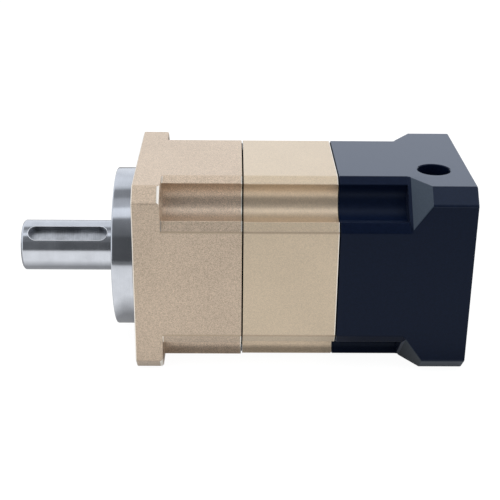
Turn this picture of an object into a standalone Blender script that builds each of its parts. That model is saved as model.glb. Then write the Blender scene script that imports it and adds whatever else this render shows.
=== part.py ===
"""Two-stage planetary gearbox with a 60 mm square frame, a keyed output shaft and a ratio of 20 : 1.

Run it with blender --background --python part.py, or from Blender's text editor.

World frame: metres, +Z up, +X along the gearbox's axis towards the motor, origin under the middle of
the gearbox on the surface that it lies on.

Working frame, used for every size below: its origin is on the axis at the output flange's face, z runs
along the axis towards the motor, y points up and x to the side. The empty gearbox_axis carries it.
"""

import math

import bmesh
import bpy

MM = 0.001
MERGE = 0.00001
TURNING_STEPS = 24
SMALL_STEPS = 12

# Square frame and its corners
FRAME_HALF = 30.0 * MM
FLANGE_CORNER = 25.8 * MM
REAR_CORNER = 25.6 * MM
BODY_CORNER = 16.95 * MM
BOLT_CIRCLE_RADIUS = 35.0 * MM
HOUSING_GROOVE_LIP = (28.6 * MM, 20.1 * MM)
BODY_GROOVE_LIP = (28.35 * MM, 19.8 * MM)

# Stations along the axis
SHAFT_END = -37.2 * MM
PILOT_FACE = -7.0 * MM
FLANGE_FACE = 0.0
FLANGE_BACK = 8.3 * MM
HOUSING_BACK = 32.4 * MM
RING_FRONT = 32.7 * MM
RING_BACK = 60.95 * MM
ADAPTER_FRONT = 61.25 * MM
GROOVE_END = 81.55 * MM
RAMP_START = 82.5 * MM
REAR_FLANGE_START = 87.85 * MM
ADAPTER_BACK = 101.2 * MM
MIDDLE = (SHAFT_END + ADAPTER_BACK) / 2

# Shaft, pilot and key slot
SHAFT_RADIUS = 8.0 * MM
SHAFT_CHAMFER = 0.6 * MM
PILOT_RADIUS = 25.0 * MM
PILOT_SPIGOT_RADIUS = 19.9 * MM
PILOT_SPIGOT_DEPTH = 2.4 * MM
KEY_WIDTH = 5.0 * MM
KEY_DEPTH = 3.0 * MM
KEY_START = -35.0 * MM
KEY_END = -10.0 * MM
KEY_ANGLE = math.radians(128.5)
CENTRE_HOLE_RADIUS = 2.1 * MM
CENTRE_HOLE_DEPTH = 12.0 * MM

# Gears
MODULE = 0.6 * MM
PRESSURE_ANGLE = math.radians(20.0)
BACKLASH = 0.1 * MM
ADDENDUM = 0.58 * MM
DEDENDUM = 0.75 * MM
RING_TEETH = 72
OUTPUT_SUN_TEETH = 24
OUTPUT_PLANET_TEETH = 24
INPUT_SUN_TEETH = 18
INPUT_PLANET_TEETH = 27
PLANETS = 3
FIRST_PLANET_ANGLE = math.radians(90.0)
OUTPUT_CENTRES = MODULE * (OUTPUT_SUN_TEETH + OUTPUT_PLANET_TEETH) / 2
INPUT_CENTRES = MODULE * (INPUT_SUN_TEETH + INPUT_PLANET_TEETH) / 2

# Carriers and planets
CARRIER_RADIUS = 20.0 * MM
OUTPUT_CARRIER = (30.4 * MM, 35.1 * MM)
OUTPUT_PLANET = (35.4 * MM, 45.2 * MM)
OUTPUT_SUN = (36.4 * MM, 46.2 * MM)
OUTPUT_WASHER = (35.25 * MM, 36.15 * MM)
INPUT_CARRIER = (46.6 * MM, 50.4 * MM)
INPUT_PLANET = (50.7 * MM, 59.7 * MM)
INPUT_SUN = (51.5 * MM, 60.8 * MM)
INPUT_WASHER = (50.55 * MM, 51.3 * MM)
OUTPUT_PIN_RADIUS = 2.5 * MM
INPUT_PIN_RADIUS = 2.0 * MM
PIN_HEAD_LIP = 0.9 * MM
PIN_HEAD_THICKNESS = 0.7 * MM
BUSH_WALL = 0.9 * MM
SUN_SHANK_RADIUS = 4.9 * MM

# Bearings: bore radius, outer radius, front and back, ball circle, ball radius, number of balls
FRONT_BEARING = (8.5 * MM, 17.5 * MM, 2.6 * MM, 12.6 * MM, 13.0 * MM, 2.3 * MM, 8)
REAR_BEARING = (10.0 * MM, 21.0 * MM, 15.8 * MM, 27.8 * MM, 15.5 * MM, 3.0 * MM, 8)
INPUT_BEARING = (12.5 * MM, 21.0 * MM, 65.8 * MM, 74.8 * MM, 16.75 * MM, 2.35 * MM, 10)
CIRCLIP_THICKNESS = 1.2 * MM
CIRCLIP_GROOVE_DEPTH = 1.4 * MM
WEB_RADIUS = 15.0 * MM
SEAL_LIP_RADIUS = 17.5 * MM
INPUT_SEAL_RADIUS = 19.0 * MM

# Spigots that centre the ring gear in its neighbours
SPIGOT_RADIUS = 24.5 * MM
SPIGOT_FRONT = 30.4 * MM
SPIGOT_BACK = 63.7 * MM
SPIGOT_GROOVE_RADIUS = 23.3 * MM
FRONT_GROOVE = (30.9 * MM, 32.1 * MM)
REAR_GROOVE = (61.9 * MM, 63.1 * MM)

# Input hub, its clamp and the motor's seat
MOTOR_SHAFT_RADIUS = 7.0 * MM
SLEEVE_RADIUS = 8.2 * MM
HUB_BACK = 95.6 * MM
COLLAR = (86.1 * MM, 95.1 * MM)
COLLAR_RADIUS = 18.0 * MM
CAVITY_RADIUS = 21.0 * MM
MOTOR_PILOT_RADIUS = 25.05 * MM
MOTOR_PILOT_DEPTH = 3.5 * MM
CLAMP_STATION = 90.6 * MM
CLAMP_OFFSET = -10.7 * MM
ACCESS_HOLE_RADIUS = 5.0 * MM

# Housing screws and motor screws
SCREW_RADIUS = 1.9 * MM
SCREW_HEAD_RADIUS = 3.5 * MM
SCREW_HEAD_HEIGHT = 4.0 * MM
SCREW_SEAT = 88.0 * MM
SCREW_TIP = 24.2 * MM
SCREW_PLACE = (15.2 * MM, 25.5 * MM)
MOTOR_SCREW_RADIUS = 2.1 * MM
MOTOR_SCREW_DEPTH = 12.0 * MM
FLANGE_HOLE_RADIUS = 2.75 * MM

# Clearances
FIT = 0.1 * MM
SEAT = 0.3 * MM
OVERRUN = 2.0 * MM
LIP_CLEARANCE = 0.03 * MM
FRONT_SEAT_RADIUS = FRONT_BEARING[0] - FIT / 2
REAR_SEAT_RADIUS = REAR_BEARING[0] - FIT / 2

# Finishes: base colour, roughness, metallic
BLASTED_GOLD = ((0.52, 0.39, 0.26), 0.42, 0.85)
MACHINED_GOLD = ((0.60, 0.46, 0.31), 0.34, 0.85)
BLACK_ANODISED = ((0.018, 0.021, 0.030), 0.45, 0.30)
TURNED_STEEL = ((0.62, 0.62, 0.63), 0.25, 1.0)
BEARING_STEEL = ((0.55, 0.56, 0.58), 0.15, 1.0)
GEAR_STEEL = ((0.33, 0.33, 0.34), 0.32, 1.0)
SPRING_STEEL = ((0.12, 0.12, 0.13), 0.35, 1.0)
CAGE_STEEL = ((0.50, 0.50, 0.52), 0.25, 1.0)
BRONZE = ((0.55, 0.33, 0.14), 0.35, 1.0)
ALUMINIUM = ((0.70, 0.71, 0.73), 0.35, 1.0)
BLACK_RUBBER = ((0.015, 0.015, 0.016), 0.65, 0.0)
BLACK_SCREW = ((0.05, 0.05, 0.055), 0.40, 0.9)


# ---------------------------------------------------------------- scene and collections

def clear_scene():
    for obj in list(bpy.data.objects):
        bpy.data.objects.remove(obj)


def new_collection(name):
    collection = bpy.data.collections.new(name)
    bpy.context.scene.collection.children.link(collection)
    return collection


def add_empty(name, parent=None, location=(0.0, 0.0, 0.0), rotation=(0.0, 0.0, 0.0)):
    empty = bpy.data.objects.new(name, None)
    empty.empty_display_size = 0.01
    empty.parent = parent
    empty.location = location
    empty.rotation_euler = rotation
    PARTS.objects.link(empty)
    return empty


clear_scene()
PARTS = new_collection("planetary_gearbox")
CUTTERS = new_collection("cutters")
AXIS = add_empty("gearbox_axis", location=(-MIDDLE, 0.0, FRAME_HALF),
                 rotation=(math.pi / 2, 0.0, math.pi / 2))


def add_part(name, mesh, finish, location=(0.0, 0.0, 0.0), angle=0.0, parent=None):
    """Places a piece on the gearbox's axis, or on its own axis parallel to it, in its finish."""
    colour, roughness, metallic = finish
    material = bpy.data.materials.new(name + "_finish")
    material.use_nodes = True
    shader = material.node_tree.nodes["Principled BSDF"]
    shader.inputs["Base Color"].default_value = (*colour, 1.0)
    shader.inputs["Roughness"].default_value = roughness
    shader.inputs["Metallic"].default_value = metallic
    mesh.name = name
    mesh.materials.append(material)
    part = bpy.data.objects.new(name, mesh)
    part.parent = parent or AXIS
    part.location = location
    part.rotation_euler = (0.0, 0.0, angle)
    PARTS.objects.link(part)
    return part


def add_cutter(name, mesh, location=(0.0, 0.0, 0.0), rotation=(0.0, 0.0, 0.0)):
    cutter = bpy.data.objects.new(name, mesh)
    cutter.parent = AXIS
    cutter.location = location
    cutter.rotation_euler = rotation
    cutter.hide_render = True
    cutter.display_type = "WIRE"
    CUTTERS.objects.link(cutter)
    return cutter


def combine(part, operand, operation="DIFFERENCE"):
    boolean = part.modifiers.new(operand.name, "BOOLEAN")
    boolean.operation = operation
    boolean.solver = "EXACT"
    boolean.object = operand


# ---------------------------------------------------------------- outlines

def circle(radius, centre=(0.0, 0.0), steps=TURNING_STEPS):
    turn = 2 * math.pi / steps
    return [(centre[0] + radius * math.cos(i * turn), centre[1] + radius * math.sin(i * turn))
            for i in range(steps)]


def arc(radius, centre, start, end, steps):
    angles = [start + (end - start) * i / steps for i in range(steps + 1)]
    return [(centre[0] + radius * math.cos(a), centre[1] + radius * math.sin(a)) for a in angles]


def turned_about_axis(points, quarter):
    """The points turned by a number of quarter turns about the gearbox's axis."""
    for _ in range(quarter):
        points = [(-y, x) for x, y in points]
    return points


def chamfered_square(corner):
    """A square outline whose corners are cut at 45 degrees, starting where each edge meets its cut."""
    edge = [(FRAME_HALF, corner), (corner, FRAME_HALF)]
    return [point for quarter in range(4) for point in turned_about_axis(edge, quarter)]


def groove_arc(lip):
    """The round groove about the bolt's centre in the corner at +x +y, between its two lips."""
    centre = BOLT_CIRCLE_RADIUS / math.sqrt(2)
    radius = math.hypot(lip[0] - centre, lip[1] - centre)
    inward = math.radians(225.0)
    half_opening = math.atan2(lip[1] - centre, lip[0] - centre) + 2 * math.pi - inward
    return arc(radius, (centre, centre), inward + half_opening, inward - half_opening, 8)


def body_outline(lip):
    """The middle section: a square with a slanted flat on each side of the groove in every corner."""
    corner = [(FRAME_HALF, BODY_CORNER), *groove_arc(lip), (BODY_CORNER, FRAME_HALF)]
    return [point for quarter in range(4) for point in turned_about_axis(corner, quarter)]


def corner_cut_outline(lip):
    """What the body's section loses at the corner at +x +y, its slanted flats run out past the frame."""
    slope = (FRAME_HALF - lip[0]) / (lip[1] - BODY_CORNER)
    start = (FRAME_HALF + OVERRUN * slope, BODY_CORNER - OVERRUN)
    end = (start[1], start[0])
    far = FRAME_HALF + OVERRUN
    return [start, (far, start[1]), (far, far), (end[0], far), end, *reversed(groove_arc(lip))]


def involute(angle):
    return math.tan(angle) - angle


def tooth_half_angle(teeth, radius, backlash):
    """Half the angle that an involute tooth takes up at a radius."""
    pitch_radius = MODULE * teeth / 2
    base_radius = pitch_radius * math.cos(PRESSURE_ANGLE)
    flank_angle = math.acos(min(1.0, base_radius / radius))
    at_pitch = math.pi / (2 * teeth) - backlash / (2 * pitch_radius)
    return at_pitch + involute(PRESSURE_ANGLE) - involute(flank_angle)


def gear_outline(teeth, outward, inward, backlash=BACKLASH, phase=0.0):
    """A gear with straight flanks between the involute's root and tip. One tooth points along phase."""
    pitch_radius = MODULE * teeth / 2
    radii = (pitch_radius - inward, pitch_radius + outward)
    points = []
    for tooth in range(teeth):
        middle = phase + 2 * math.pi * tooth / teeth
        flank = [(radius, tooth_half_angle(teeth, radius, backlash)) for radius in radii]
        polar = [(r, middle - half) for r, half in flank]
        polar += [(r, middle + half) for r, half in reversed(flank)]
        points += [(r * math.cos(a), r * math.sin(a)) for r, a in polar]
    return points


def slot_outline(length, width):
    """A slot with round ends, centred, along x."""
    radius = width / 2
    middle = length / 2 - radius
    quarter = math.pi / 2
    return arc(radius, (middle, 0.0), -quarter, quarter, 6) + arc(radius, (-middle, 0.0), quarter,
                                                                  3 * quarter, 6)


# ---------------------------------------------------------------- solids from outlines and profiles

def prism(loops, front, back):
    """Outlines, the first with the others as its holes or beside it, drawn out from front to back."""
    curve = bpy.data.curves.new("outline", "CURVE")
    curve.dimensions = "2D"
    curve.fill_mode = "BOTH"
    curve.extrude = (back - front) / 2
    for loop in loops:
        spline = curve.splines.new("POLY")
        spline.points.add(len(loop) - 1)
        for point, (x, y) in zip(spline.points, loop):
            point.co = (x, y, 0.0, 1.0)
        spline.use_cyclic_u = True
    outline = bpy.data.objects.new("outline", curve)
    outline.location = (0.0, 0.0, (front + back) / 2)
    bpy.context.scene.collection.objects.link(outline)
    depsgraph = bpy.context.evaluated_depsgraph_get()
    mesh = bpy.data.meshes.new_from_object(outline.evaluated_get(depsgraph))
    mesh.transform(outline.matrix_world)
    bpy.data.objects.remove(outline)
    bpy.data.curves.remove(curve)
    return welded(mesh)


def welded(mesh):
    bm = bmesh.new()
    bm.from_mesh(mesh)
    bmesh.ops.remove_doubles(bm, verts=bm.verts, dist=MERGE)
    bm.to_mesh(mesh)
    bm.free()
    return mesh


def outer_side(steps):
    """The outer side of a stepped round piece from (front, back, radius) steps, running back to front."""
    return [(radius, z) for front, back, radius in reversed(steps) for z in (back, front)]


def inner_side(steps):
    """The wall of a stepped bore from (front, back, radius) steps, running front to back."""
    return [(radius, z) for front, back, radius in steps for z in (front, back)]


def profile_mesh(profile, closed):
    """A profile of (radius, z) points as edges, for the Screw modifier."""
    mesh = bpy.data.meshes.new("profile")
    edges = [(i, i + 1) for i in range(len(profile) - 1)]
    if closed:
        edges.append((len(profile) - 1, 0))
    mesh.from_pydata([(radius, 0.0, z) for radius, z in profile], edges, [])
    return mesh


def turn(obj, steps=TURNING_STEPS):
    """Turns the object's profile about its own z axis, smooth except at its edges."""
    screw = obj.modifiers.new("Turned", "SCREW")
    screw.axis = "Z"
    screw.steps = steps
    screw.render_steps = steps
    screw.use_merge_vertices = True
    screw.merge_threshold = MERGE
    screw.use_smooth_shade = True
    return obj


def turned_ring(name, profile, finish, steps=TURNING_STEPS, parent=None):
    return turn(add_part(name, profile_mesh(profile, closed=True), finish, parent=parent), steps)


def turned_solid(name, profile, finish, location=(0.0, 0.0, 0.0), steps=TURNING_STEPS):
    """A profile whose two ends lie on the axis."""
    return turn(add_part(name, profile_mesh(profile, closed=False), finish, location), steps)


def plain_ring(name, inner, outer, front, back, finish, steps=TURNING_STEPS):
    profile = outer_side([(front, back, outer)]) + inner_side([(front, back, inner)])
    return turned_ring(name, profile, finish, steps)


def turned_cutter(name, steps, turning_steps=TURNING_STEPS):
    """A stepped round cutter on the axis."""
    profile = [(0.0, steps[-1][1]), *outer_side(steps), (0.0, steps[0][0])]
    return turn(add_cutter(name, profile_mesh(profile, closed=False)), turning_steps)


def holes_cutter(name, radius, centres, front, back, steps=SMALL_STEPS):
    return add_cutter(name, prism([circle(radius, centre, steps) for centre in centres], front, back))


def bolt_centres():
    place = [(BOLT_CIRCLE_RADIUS / math.sqrt(2), BOLT_CIRCLE_RADIUS / math.sqrt(2))]
    return [point for quarter in range(4) for point in turned_about_axis(place, quarter)]


def screw_centres():
    return [point for quarter in range(4) for point in turned_about_axis([SCREW_PLACE], quarter)]


def planet_centres(distance):
    angles = [FIRST_PLANET_ANGLE + 2 * math.pi * i / PLANETS for i in range(PLANETS)]
    return [(distance * math.cos(a), distance * math.sin(a)) for a in angles]


def cut_corners(part, lip, front, back):
    """Cuts the flats and the groove of all four corners between two stations."""
    outline = corner_cut_outline(lip)
    loops = [turned_about_axis(outline, quarter) for quarter in range(4)]
    combine(part, add_cutter(part.name + "_corners", prism(loops, front, back)))


# ---------------------------------------------------------------- housings

def make_output_housing():
    holes = [circle(FLANGE_HOLE_RADIUS, centre, SMALL_STEPS) for centre in bolt_centres()]
    outline = [chamfered_square(FLANGE_CORNER), *holes]
    housing = add_part("output_housing", prism(outline, FLANGE_FACE, HOUSING_BACK), BLASTED_GOLD)
    cut_corners(housing, HOUSING_GROOVE_LIP, FLANGE_BACK, HOUSING_BACK + OVERRUN)
    front_seat = FRONT_BEARING[3] + FIT
    rear_front = REAR_BEARING[2] - FIT
    rear_back = REAR_BEARING[3] + FIT
    clip_back = rear_back + CIRCLIP_THICKNESS + 2 * FIT
    recess = SPIGOT_FRONT - FIT
    combine(housing, turned_cutter("output_housing_bore", [
        (FLANGE_FACE - OVERRUN, PILOT_SPIGOT_DEPTH + FIT, PILOT_SPIGOT_RADIUS + FIT),
        (PILOT_SPIGOT_DEPTH + FIT, front_seat, FRONT_BEARING[1] + FIT),
        (front_seat, rear_front, WEB_RADIUS),
        (rear_front, rear_back, REAR_BEARING[1] + FIT),
        (rear_back, clip_back, REAR_BEARING[1] + CIRCLIP_GROOVE_DEPTH),
        (clip_back, recess, REAR_BEARING[1] + FIT),
        (recess, HOUSING_BACK + OVERRUN, SPIGOT_RADIUS + 2 * FIT),
    ]))
    threads = holes_cutter("output_housing_threads", SCREW_RADIUS + 1.5 * FIT, screw_centres(),
                           SCREW_TIP - 1.0 * MM, HOUSING_BACK + OVERRUN)
    combine(housing, threads)


def make_ring_gear():
    holes = [circle(SCREW_RADIUS + SEAT, centre, SMALL_STEPS) for centre in screw_centres()]
    outline = [body_outline(BODY_GROOVE_LIP), *holes]
    ring = add_part("ring_gear", prism(outline, RING_FRONT, RING_BACK), MACHINED_GOLD)
    combine(ring, turned_cutter("ring_gear_spigots", [
        (SPIGOT_FRONT, FRONT_GROOVE[0], SPIGOT_RADIUS),
        (FRONT_GROOVE[0], FRONT_GROOVE[1], SPIGOT_GROOVE_RADIUS),
        (FRONT_GROOVE[1], REAR_GROOVE[0], SPIGOT_RADIUS),
        (REAR_GROOVE[0], REAR_GROOVE[1], SPIGOT_GROOVE_RADIUS),
        (REAR_GROOVE[1], SPIGOT_BACK, SPIGOT_RADIUS),
    ]), "UNION")
    bore = gear_outline(RING_TEETH, DEDENDUM, ADDENDUM, backlash=-BACKLASH, phase=FIRST_PLANET_ANGLE)
    teeth = prism([bore], SPIGOT_FRONT - OVERRUN, SPIGOT_BACK + OVERRUN)
    combine(ring, add_cutter("ring_gear_teeth", teeth))


def make_input_adapter():
    adapter = add_part("input_adapter", prism([chamfered_square(REAR_CORNER)], ADAPTER_FRONT,
                                              ADAPTER_BACK), BLACK_ANODISED)
    cut_corners(adapter, BODY_GROOVE_LIP, ADAPTER_FRONT - OVERRUN, GROOVE_END)
    for quarter in range(4):
        combine(adapter, corner_ramp(quarter))
    lip_front = INPUT_BEARING[3] + 2 * FIT
    clip_back = INPUT_BEARING[2] - FIT
    clip_front = clip_back - CIRCLIP_THICKNESS - 2 * FIT
    seal_seat = 76.6 * MM
    cavity = 83.6 * MM
    pilot = ADAPTER_BACK - MOTOR_PILOT_DEPTH
    combine(adapter, turned_cutter("input_adapter_bore", [
        (ADAPTER_FRONT - OVERRUN, SPIGOT_BACK + 2 * FIT, SPIGOT_RADIUS + 2 * FIT),
        (SPIGOT_BACK + 2 * FIT, clip_front, INPUT_BEARING[1] + FIT),
        (clip_front, clip_back, INPUT_BEARING[1] + CIRCLIP_GROOVE_DEPTH),
        (clip_back, lip_front, INPUT_BEARING[1] + FIT),
        (lip_front, seal_seat, SEAL_LIP_RADIUS),
        (seal_seat, cavity, INPUT_SEAL_RADIUS + FIT),
        (cavity, pilot, CAVITY_RADIUS),
        (pilot, ADAPTER_BACK + OVERRUN, MOTOR_PILOT_RADIUS),
    ]))
    combine(adapter, holes_cutter("input_adapter_screw_holes", SCREW_RADIUS + SEAT, screw_centres(),
                                  ADAPTER_FRONT - OVERRUN, ADAPTER_BACK + OVERRUN))
    combine(adapter, holes_cutter("input_adapter_screw_seats", SCREW_HEAD_RADIUS + SEAT,
                                  screw_centres(), SCREW_SEAT, ADAPTER_BACK + OVERRUN))
    combine(adapter, holes_cutter("input_adapter_motor_threads", MOTOR_SCREW_RADIUS, bolt_centres(),
                                  ADAPTER_BACK - MOTOR_SCREW_DEPTH, ADAPTER_BACK + OVERRUN))
    access = prism([circle(ACCESS_HOLE_RADIUS, steps=20)], 0.0, FRAME_HALF + OVERRUN)
    combine(adapter, add_cutter("access_hole", access, (CLAMP_OFFSET, 0.0, CLAMP_STATION),
                                (-math.pi / 2, 0.0, 0.0)))


def corner_ramp(quarter):
    """Cuts the slope that runs up from the lips of a corner's groove to the rear flange's corner."""
    root_2 = math.sqrt(2)
    low = sum(BODY_GROOVE_LIP) / root_2 + LIP_CLEARANCE
    high = (FRAME_HALF + REAR_CORNER) / root_2
    slope = (high - low) / (REAR_FLANGE_START - RAMP_START)
    run_out = 5.0 * MM
    top = high + slope * run_out
    front = GROOVE_END - run_out
    ramp = [(RAMP_START, low), (REAR_FLANGE_START + run_out, top), (front, top), (front, low)]
    half_width = 12.0 * MM
    cutter = add_cutter("corner_ramp_%d" % quarter, prism([ramp], -half_width, half_width))
    cutter.rotation_mode = "XYZ"
    cutter.rotation_euler = (0.0, -math.pi / 2, math.radians(45.0 + 90.0 * quarter))
    return cutter


def make_pilot_ring():
    seal_radius = 15.1 * MM
    outer = [(PILOT_FACE, FLANGE_FACE - FIT, PILOT_RADIUS),
             (FLANGE_FACE - FIT, PILOT_SPIGOT_DEPTH, PILOT_SPIGOT_RADIUS)]
    inner = [(PILOT_FACE, FLANGE_FACE, seal_radius), (FLANGE_FACE, PILOT_SPIGOT_DEPTH, 12.0 * MM)]
    turned_ring("pilot_ring", outer_side(outer) + inner_side(inner), TURNED_STEEL)


def make_seals():
    """Lip seals: a rubber body whose lip stands just off the shaft."""
    for name, front, back, inner, outer in (
        ("output_oil_seal", -6.4 * MM, -0.2 * MM, SHAFT_RADIUS + 2 * FIT, 15.0 * MM),
        ("input_oil_seal", 76.8 * MM, 83.2 * MM, 14.25 * MM, INPUT_SEAL_RADIUS),
    ):
        waist = inner + 1.5 * MM
        profile = [(outer, back), (outer, front), (waist, front), (inner, front + 1.5 * MM),
                   (waist, back)]
        turned_ring(name, profile, BLACK_RUBBER)


def make_o_rings():
    for name, groove in (("front_o_ring", FRONT_GROOVE), ("rear_o_ring", REAR_GROOVE)):
        front = groove[0] + 0.05 * MM
        back = groove[1] - 0.05 * MM
        middle = (front + back) / 2
        inner = SPIGOT_GROOVE_RADIUS + 0.1 * MM
        outer = SPIGOT_RADIUS + 0.1 * MM
        widest = (inner + outer) / 2
        profile = [(outer, middle), (widest, front), (inner, middle), (widest, back)]
        turned_ring(name, profile, BLACK_RUBBER)


def make_housing_screws():
    tip = SCREW_TIP
    seat = SCREW_SEAT + FIT
    top = seat + SCREW_HEAD_HEIGHT
    socket_radius = 1.7 * MM
    socket_depth = 2.0 * MM
    profile = [(0.0, top - socket_depth), (socket_radius, top - socket_depth), (socket_radius, top)]
    profile += outer_side([(tip, seat, SCREW_RADIUS), (seat, top, SCREW_HEAD_RADIUS)]) + [(0.0, tip)]
    for number, (x, y) in enumerate(screw_centres(), 1):
        turned_solid("housing_screw_%d" % number, profile, BLACK_SCREW, (x, y, 0.0), SMALL_STEPS)


# ---------------------------------------------------------------- bearings and circlips

def make_bearing(prefix, sizes):
    """A deep groove ball bearing: inner ring, outer ring, and the cage with its balls."""
    bore, outside, front, back, circle_radius, ball_radius, balls = sizes
    middle = (front + back) / 2
    groove = ball_radius * 1.13
    shoulder = ball_radius * 0.66
    root = ball_radius * 1.19
    inner = outer_side([(middle + groove, back, circle_radius - shoulder)])
    inner += [(circle_radius - root, middle)]
    inner += outer_side([(front, middle - groove, circle_radius - shoulder)])
    turned_ring(prefix + "_bearing_inner_ring", inner + [(bore, front), (bore, back)], BEARING_STEEL)
    outer = [(outside, back), (outside, front)]
    outer += inner_side([(front, middle - groove, circle_radius + shoulder)])
    outer += [(circle_radius + root * 1.05, middle)]
    outer += inner_side([(middle + groove, back, circle_radius + shoulder)])
    turned_ring(prefix + "_bearing_outer_ring", outer, BEARING_STEEL)
    cage_half_wall = ball_radius * 0.25
    cage_half_width = ball_radius * 0.7
    cage = plain_ring(prefix + "_bearing_cage", circle_radius - cage_half_wall,
                      circle_radius + cage_half_wall, middle - cage_half_width,
                      middle + cage_half_width, CAGE_STEEL)
    combine(cage, ball_set(prefix, circle_radius, ball_radius, middle, balls), "UNION")


def ball_set(prefix, circle_radius, ball_radius, station, balls):
    bm = bmesh.new()
    for number in range(balls):
        made = bmesh.ops.create_uvsphere(bm, u_segments=6, v_segments=4, radius=ball_radius)
        angle = 2 * math.pi * (number + 0.25) / balls
        place = (circle_radius * math.cos(angle), circle_radius * math.sin(angle), station)
        bmesh.ops.translate(bm, verts=made["verts"], vec=place)
    mesh = bpy.data.meshes.new(prefix + "_balls")
    bm.to_mesh(mesh)
    bm.free()
    return add_cutter(prefix + "_balls", mesh)


def make_circlip(name, inner, outer, front, gap_angle):
    """An open spring ring."""
    half_gap = math.radians(gap_angle / 2)
    start = math.pi / 2 + half_gap
    end = math.pi / 2 - half_gap + 2 * math.pi
    centre = (0.0, 0.0)
    outline = arc(outer, centre, start, end, 16) + arc(inner, centre, end, start, 16)
    add_part(name, prism([outline], front, front + CIRCLIP_THICKNESS), SPRING_STEEL)


def make_circlips():
    groove = INPUT_BEARING[2] - CIRCLIP_THICKNESS - 2 * FIT
    make_circlip("rear_bearing_circlip", 18.8 * MM, 22.0 * MM, REAR_BEARING[3] + 2 * FIT, 24.0)
    make_circlip("input_bearing_circlip", 18.8 * MM, 22.0 * MM, groove, 24.0)
    make_circlip("output_shaft_circlip", 8.3 * MM, 10.4 * MM, 1.2 * MM, 40.0)
    make_circlip("input_hub_circlip", 12.15 * MM, 14.6 * MM, groove, 30.0)


# ---------------------------------------------------------------- output shaft

def make_output_shaft():
    hole_end = SHAFT_END + CENTRE_HOLE_DEPTH
    cone = 1.2 * MM
    step = REAR_BEARING[2] - 0.3 * MM
    disc_front, disc_back = OUTPUT_CARRIER
    outer = outer_side([
        (SHAFT_END + SHAFT_CHAMFER, 0.0, SHAFT_RADIUS),
        (0.0, 1.1 * MM, FRONT_SEAT_RADIUS),
        (1.1 * MM, 2.5 * MM, SHAFT_RADIUS),
        (2.5 * MM, step, FRONT_SEAT_RADIUS),
        (step, REAR_BEARING[3] + FIT, REAR_SEAT_RADIUS),
        (REAR_BEARING[3] + FIT, disc_front, 12.4 * MM),
        (disc_front, disc_back, CARRIER_RADIUS),
    ])
    end = [(SHAFT_RADIUS - SHAFT_CHAMFER, SHAFT_END), (CENTRE_HOLE_RADIUS + cone, SHAFT_END),
           (CENTRE_HOLE_RADIUS, SHAFT_END + cone), (CENTRE_HOLE_RADIUS, hole_end),
           (0.0, hole_end + cone)]
    shaft = turned_solid("output_shaft", [(0.0, disc_back), *outer, *end], TURNED_STEEL)
    combine(shaft, key_slot_cutter())
    combine(shaft, holes_cutter("output_pin_holes", OUTPUT_PIN_RADIUS + FIT,
                                planet_centres(OUTPUT_CENTRES), disc_front - OVERRUN,
                                disc_back + OVERRUN))
    plain_ring("bearing_spacer", FRONT_BEARING[0] + 0.05 * MM, 11.4 * MM, FRONT_BEARING[3] + FIT,
               step - FIT, ALUMINIUM)
    plain_ring("output_thrust_washer", 2.0 * MM, 6.2 * MM, *OUTPUT_WASHER, BRONZE)


def key_slot_cutter():
    """A slot with round ends along the shaft, whose floor lies KEY_DEPTH under the surface."""
    floor = SHAFT_RADIUS - KEY_DEPTH
    slot = prism([slot_outline(KEY_END - KEY_START, KEY_WIDTH)], floor, SHAFT_RADIUS + OVERRUN)
    cutter = add_cutter("key_slot", slot, (0.0, 0.0, (KEY_START + KEY_END) / 2))
    cutter.rotation_euler = (0.0, math.pi / 2, KEY_ANGLE)
    return cutter


# ---------------------------------------------------------------- planetary stages

def make_planets(stage, teeth, distance, span, pin_radius, carrier_front):
    """Three planet gears on bushes and pins."""
    bush_inner = pin_radius + FIT
    bush_outer = bush_inner + BUSH_WALL
    front, back = span
    pin_head = back + 0.2 * MM
    for number, (x, y) in enumerate(planet_centres(distance), 1):
        axis = add_empty("%s_planet_axis_%d" % (stage, number), AXIS, (x, y, 0.0))
        outward = math.atan2(y, x)
        outline = gear_outline(teeth, ADDENDUM, DEDENDUM, phase=outward)
        gear = prism([outline, circle(bush_outer + FIT, steps=SMALL_STEPS)], front, back)
        add_part("%s_planet_gear_%d" % (stage, number), gear, GEAR_STEEL, parent=axis)
        bush = prism([circle(bush_outer, steps=SMALL_STEPS), circle(bush_inner, steps=SMALL_STEPS)],
                     front, back)
        add_part("%s_planet_bush_%d" % (stage, number), bush, BRONZE, parent=axis)
        pin = [(0.0, pin_head + PIN_HEAD_THICKNESS)]
        pin += outer_side([(carrier_front, pin_head, pin_radius),
                           (pin_head, pin_head + PIN_HEAD_THICKNESS, pin_radius + PIN_HEAD_LIP)])
        pin += [(0.0, carrier_front)]
        turned_solid("%s_planet_pin_%d" % (stage, number), pin, BEARING_STEEL, (x, y, 0.0), SMALL_STEPS)


def make_sun(name, teeth, span, shank_back, phase):
    """A sun gear with a round shank behind it."""
    root = MODULE * teeth / 2 - DEDENDUM
    sun = add_part(name, prism([gear_outline(teeth, ADDENDUM, DEDENDUM, phase=phase)], *span),
                   GEAR_STEEL)
    shank = turned_cutter(name + "_shank", [
        (span[0] + 0.5 * MM, span[1] - 0.5 * MM, root - 0.5 * MM),
        (span[1] - 0.5 * MM, shank_back, min(SUN_SHANK_RADIUS, root - 0.2 * MM)),
    ])
    combine(sun, shank, "UNION")


def make_input_carrier():
    pins = [circle(INPUT_PIN_RADIUS + FIT, centre, SMALL_STEPS)
            for centre in planet_centres(INPUT_CENTRES)]
    centre = circle(SUN_SHANK_RADIUS + FIT)
    outline = [circle(CARRIER_RADIUS), centre, *pins]
    add_part("input_carrier", prism(outline, *INPUT_CARRIER), GEAR_STEEL)
    plain_ring("input_thrust_washer", 2.0 * MM, 4.6 * MM, *INPUT_WASHER, BRONZE)


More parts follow.
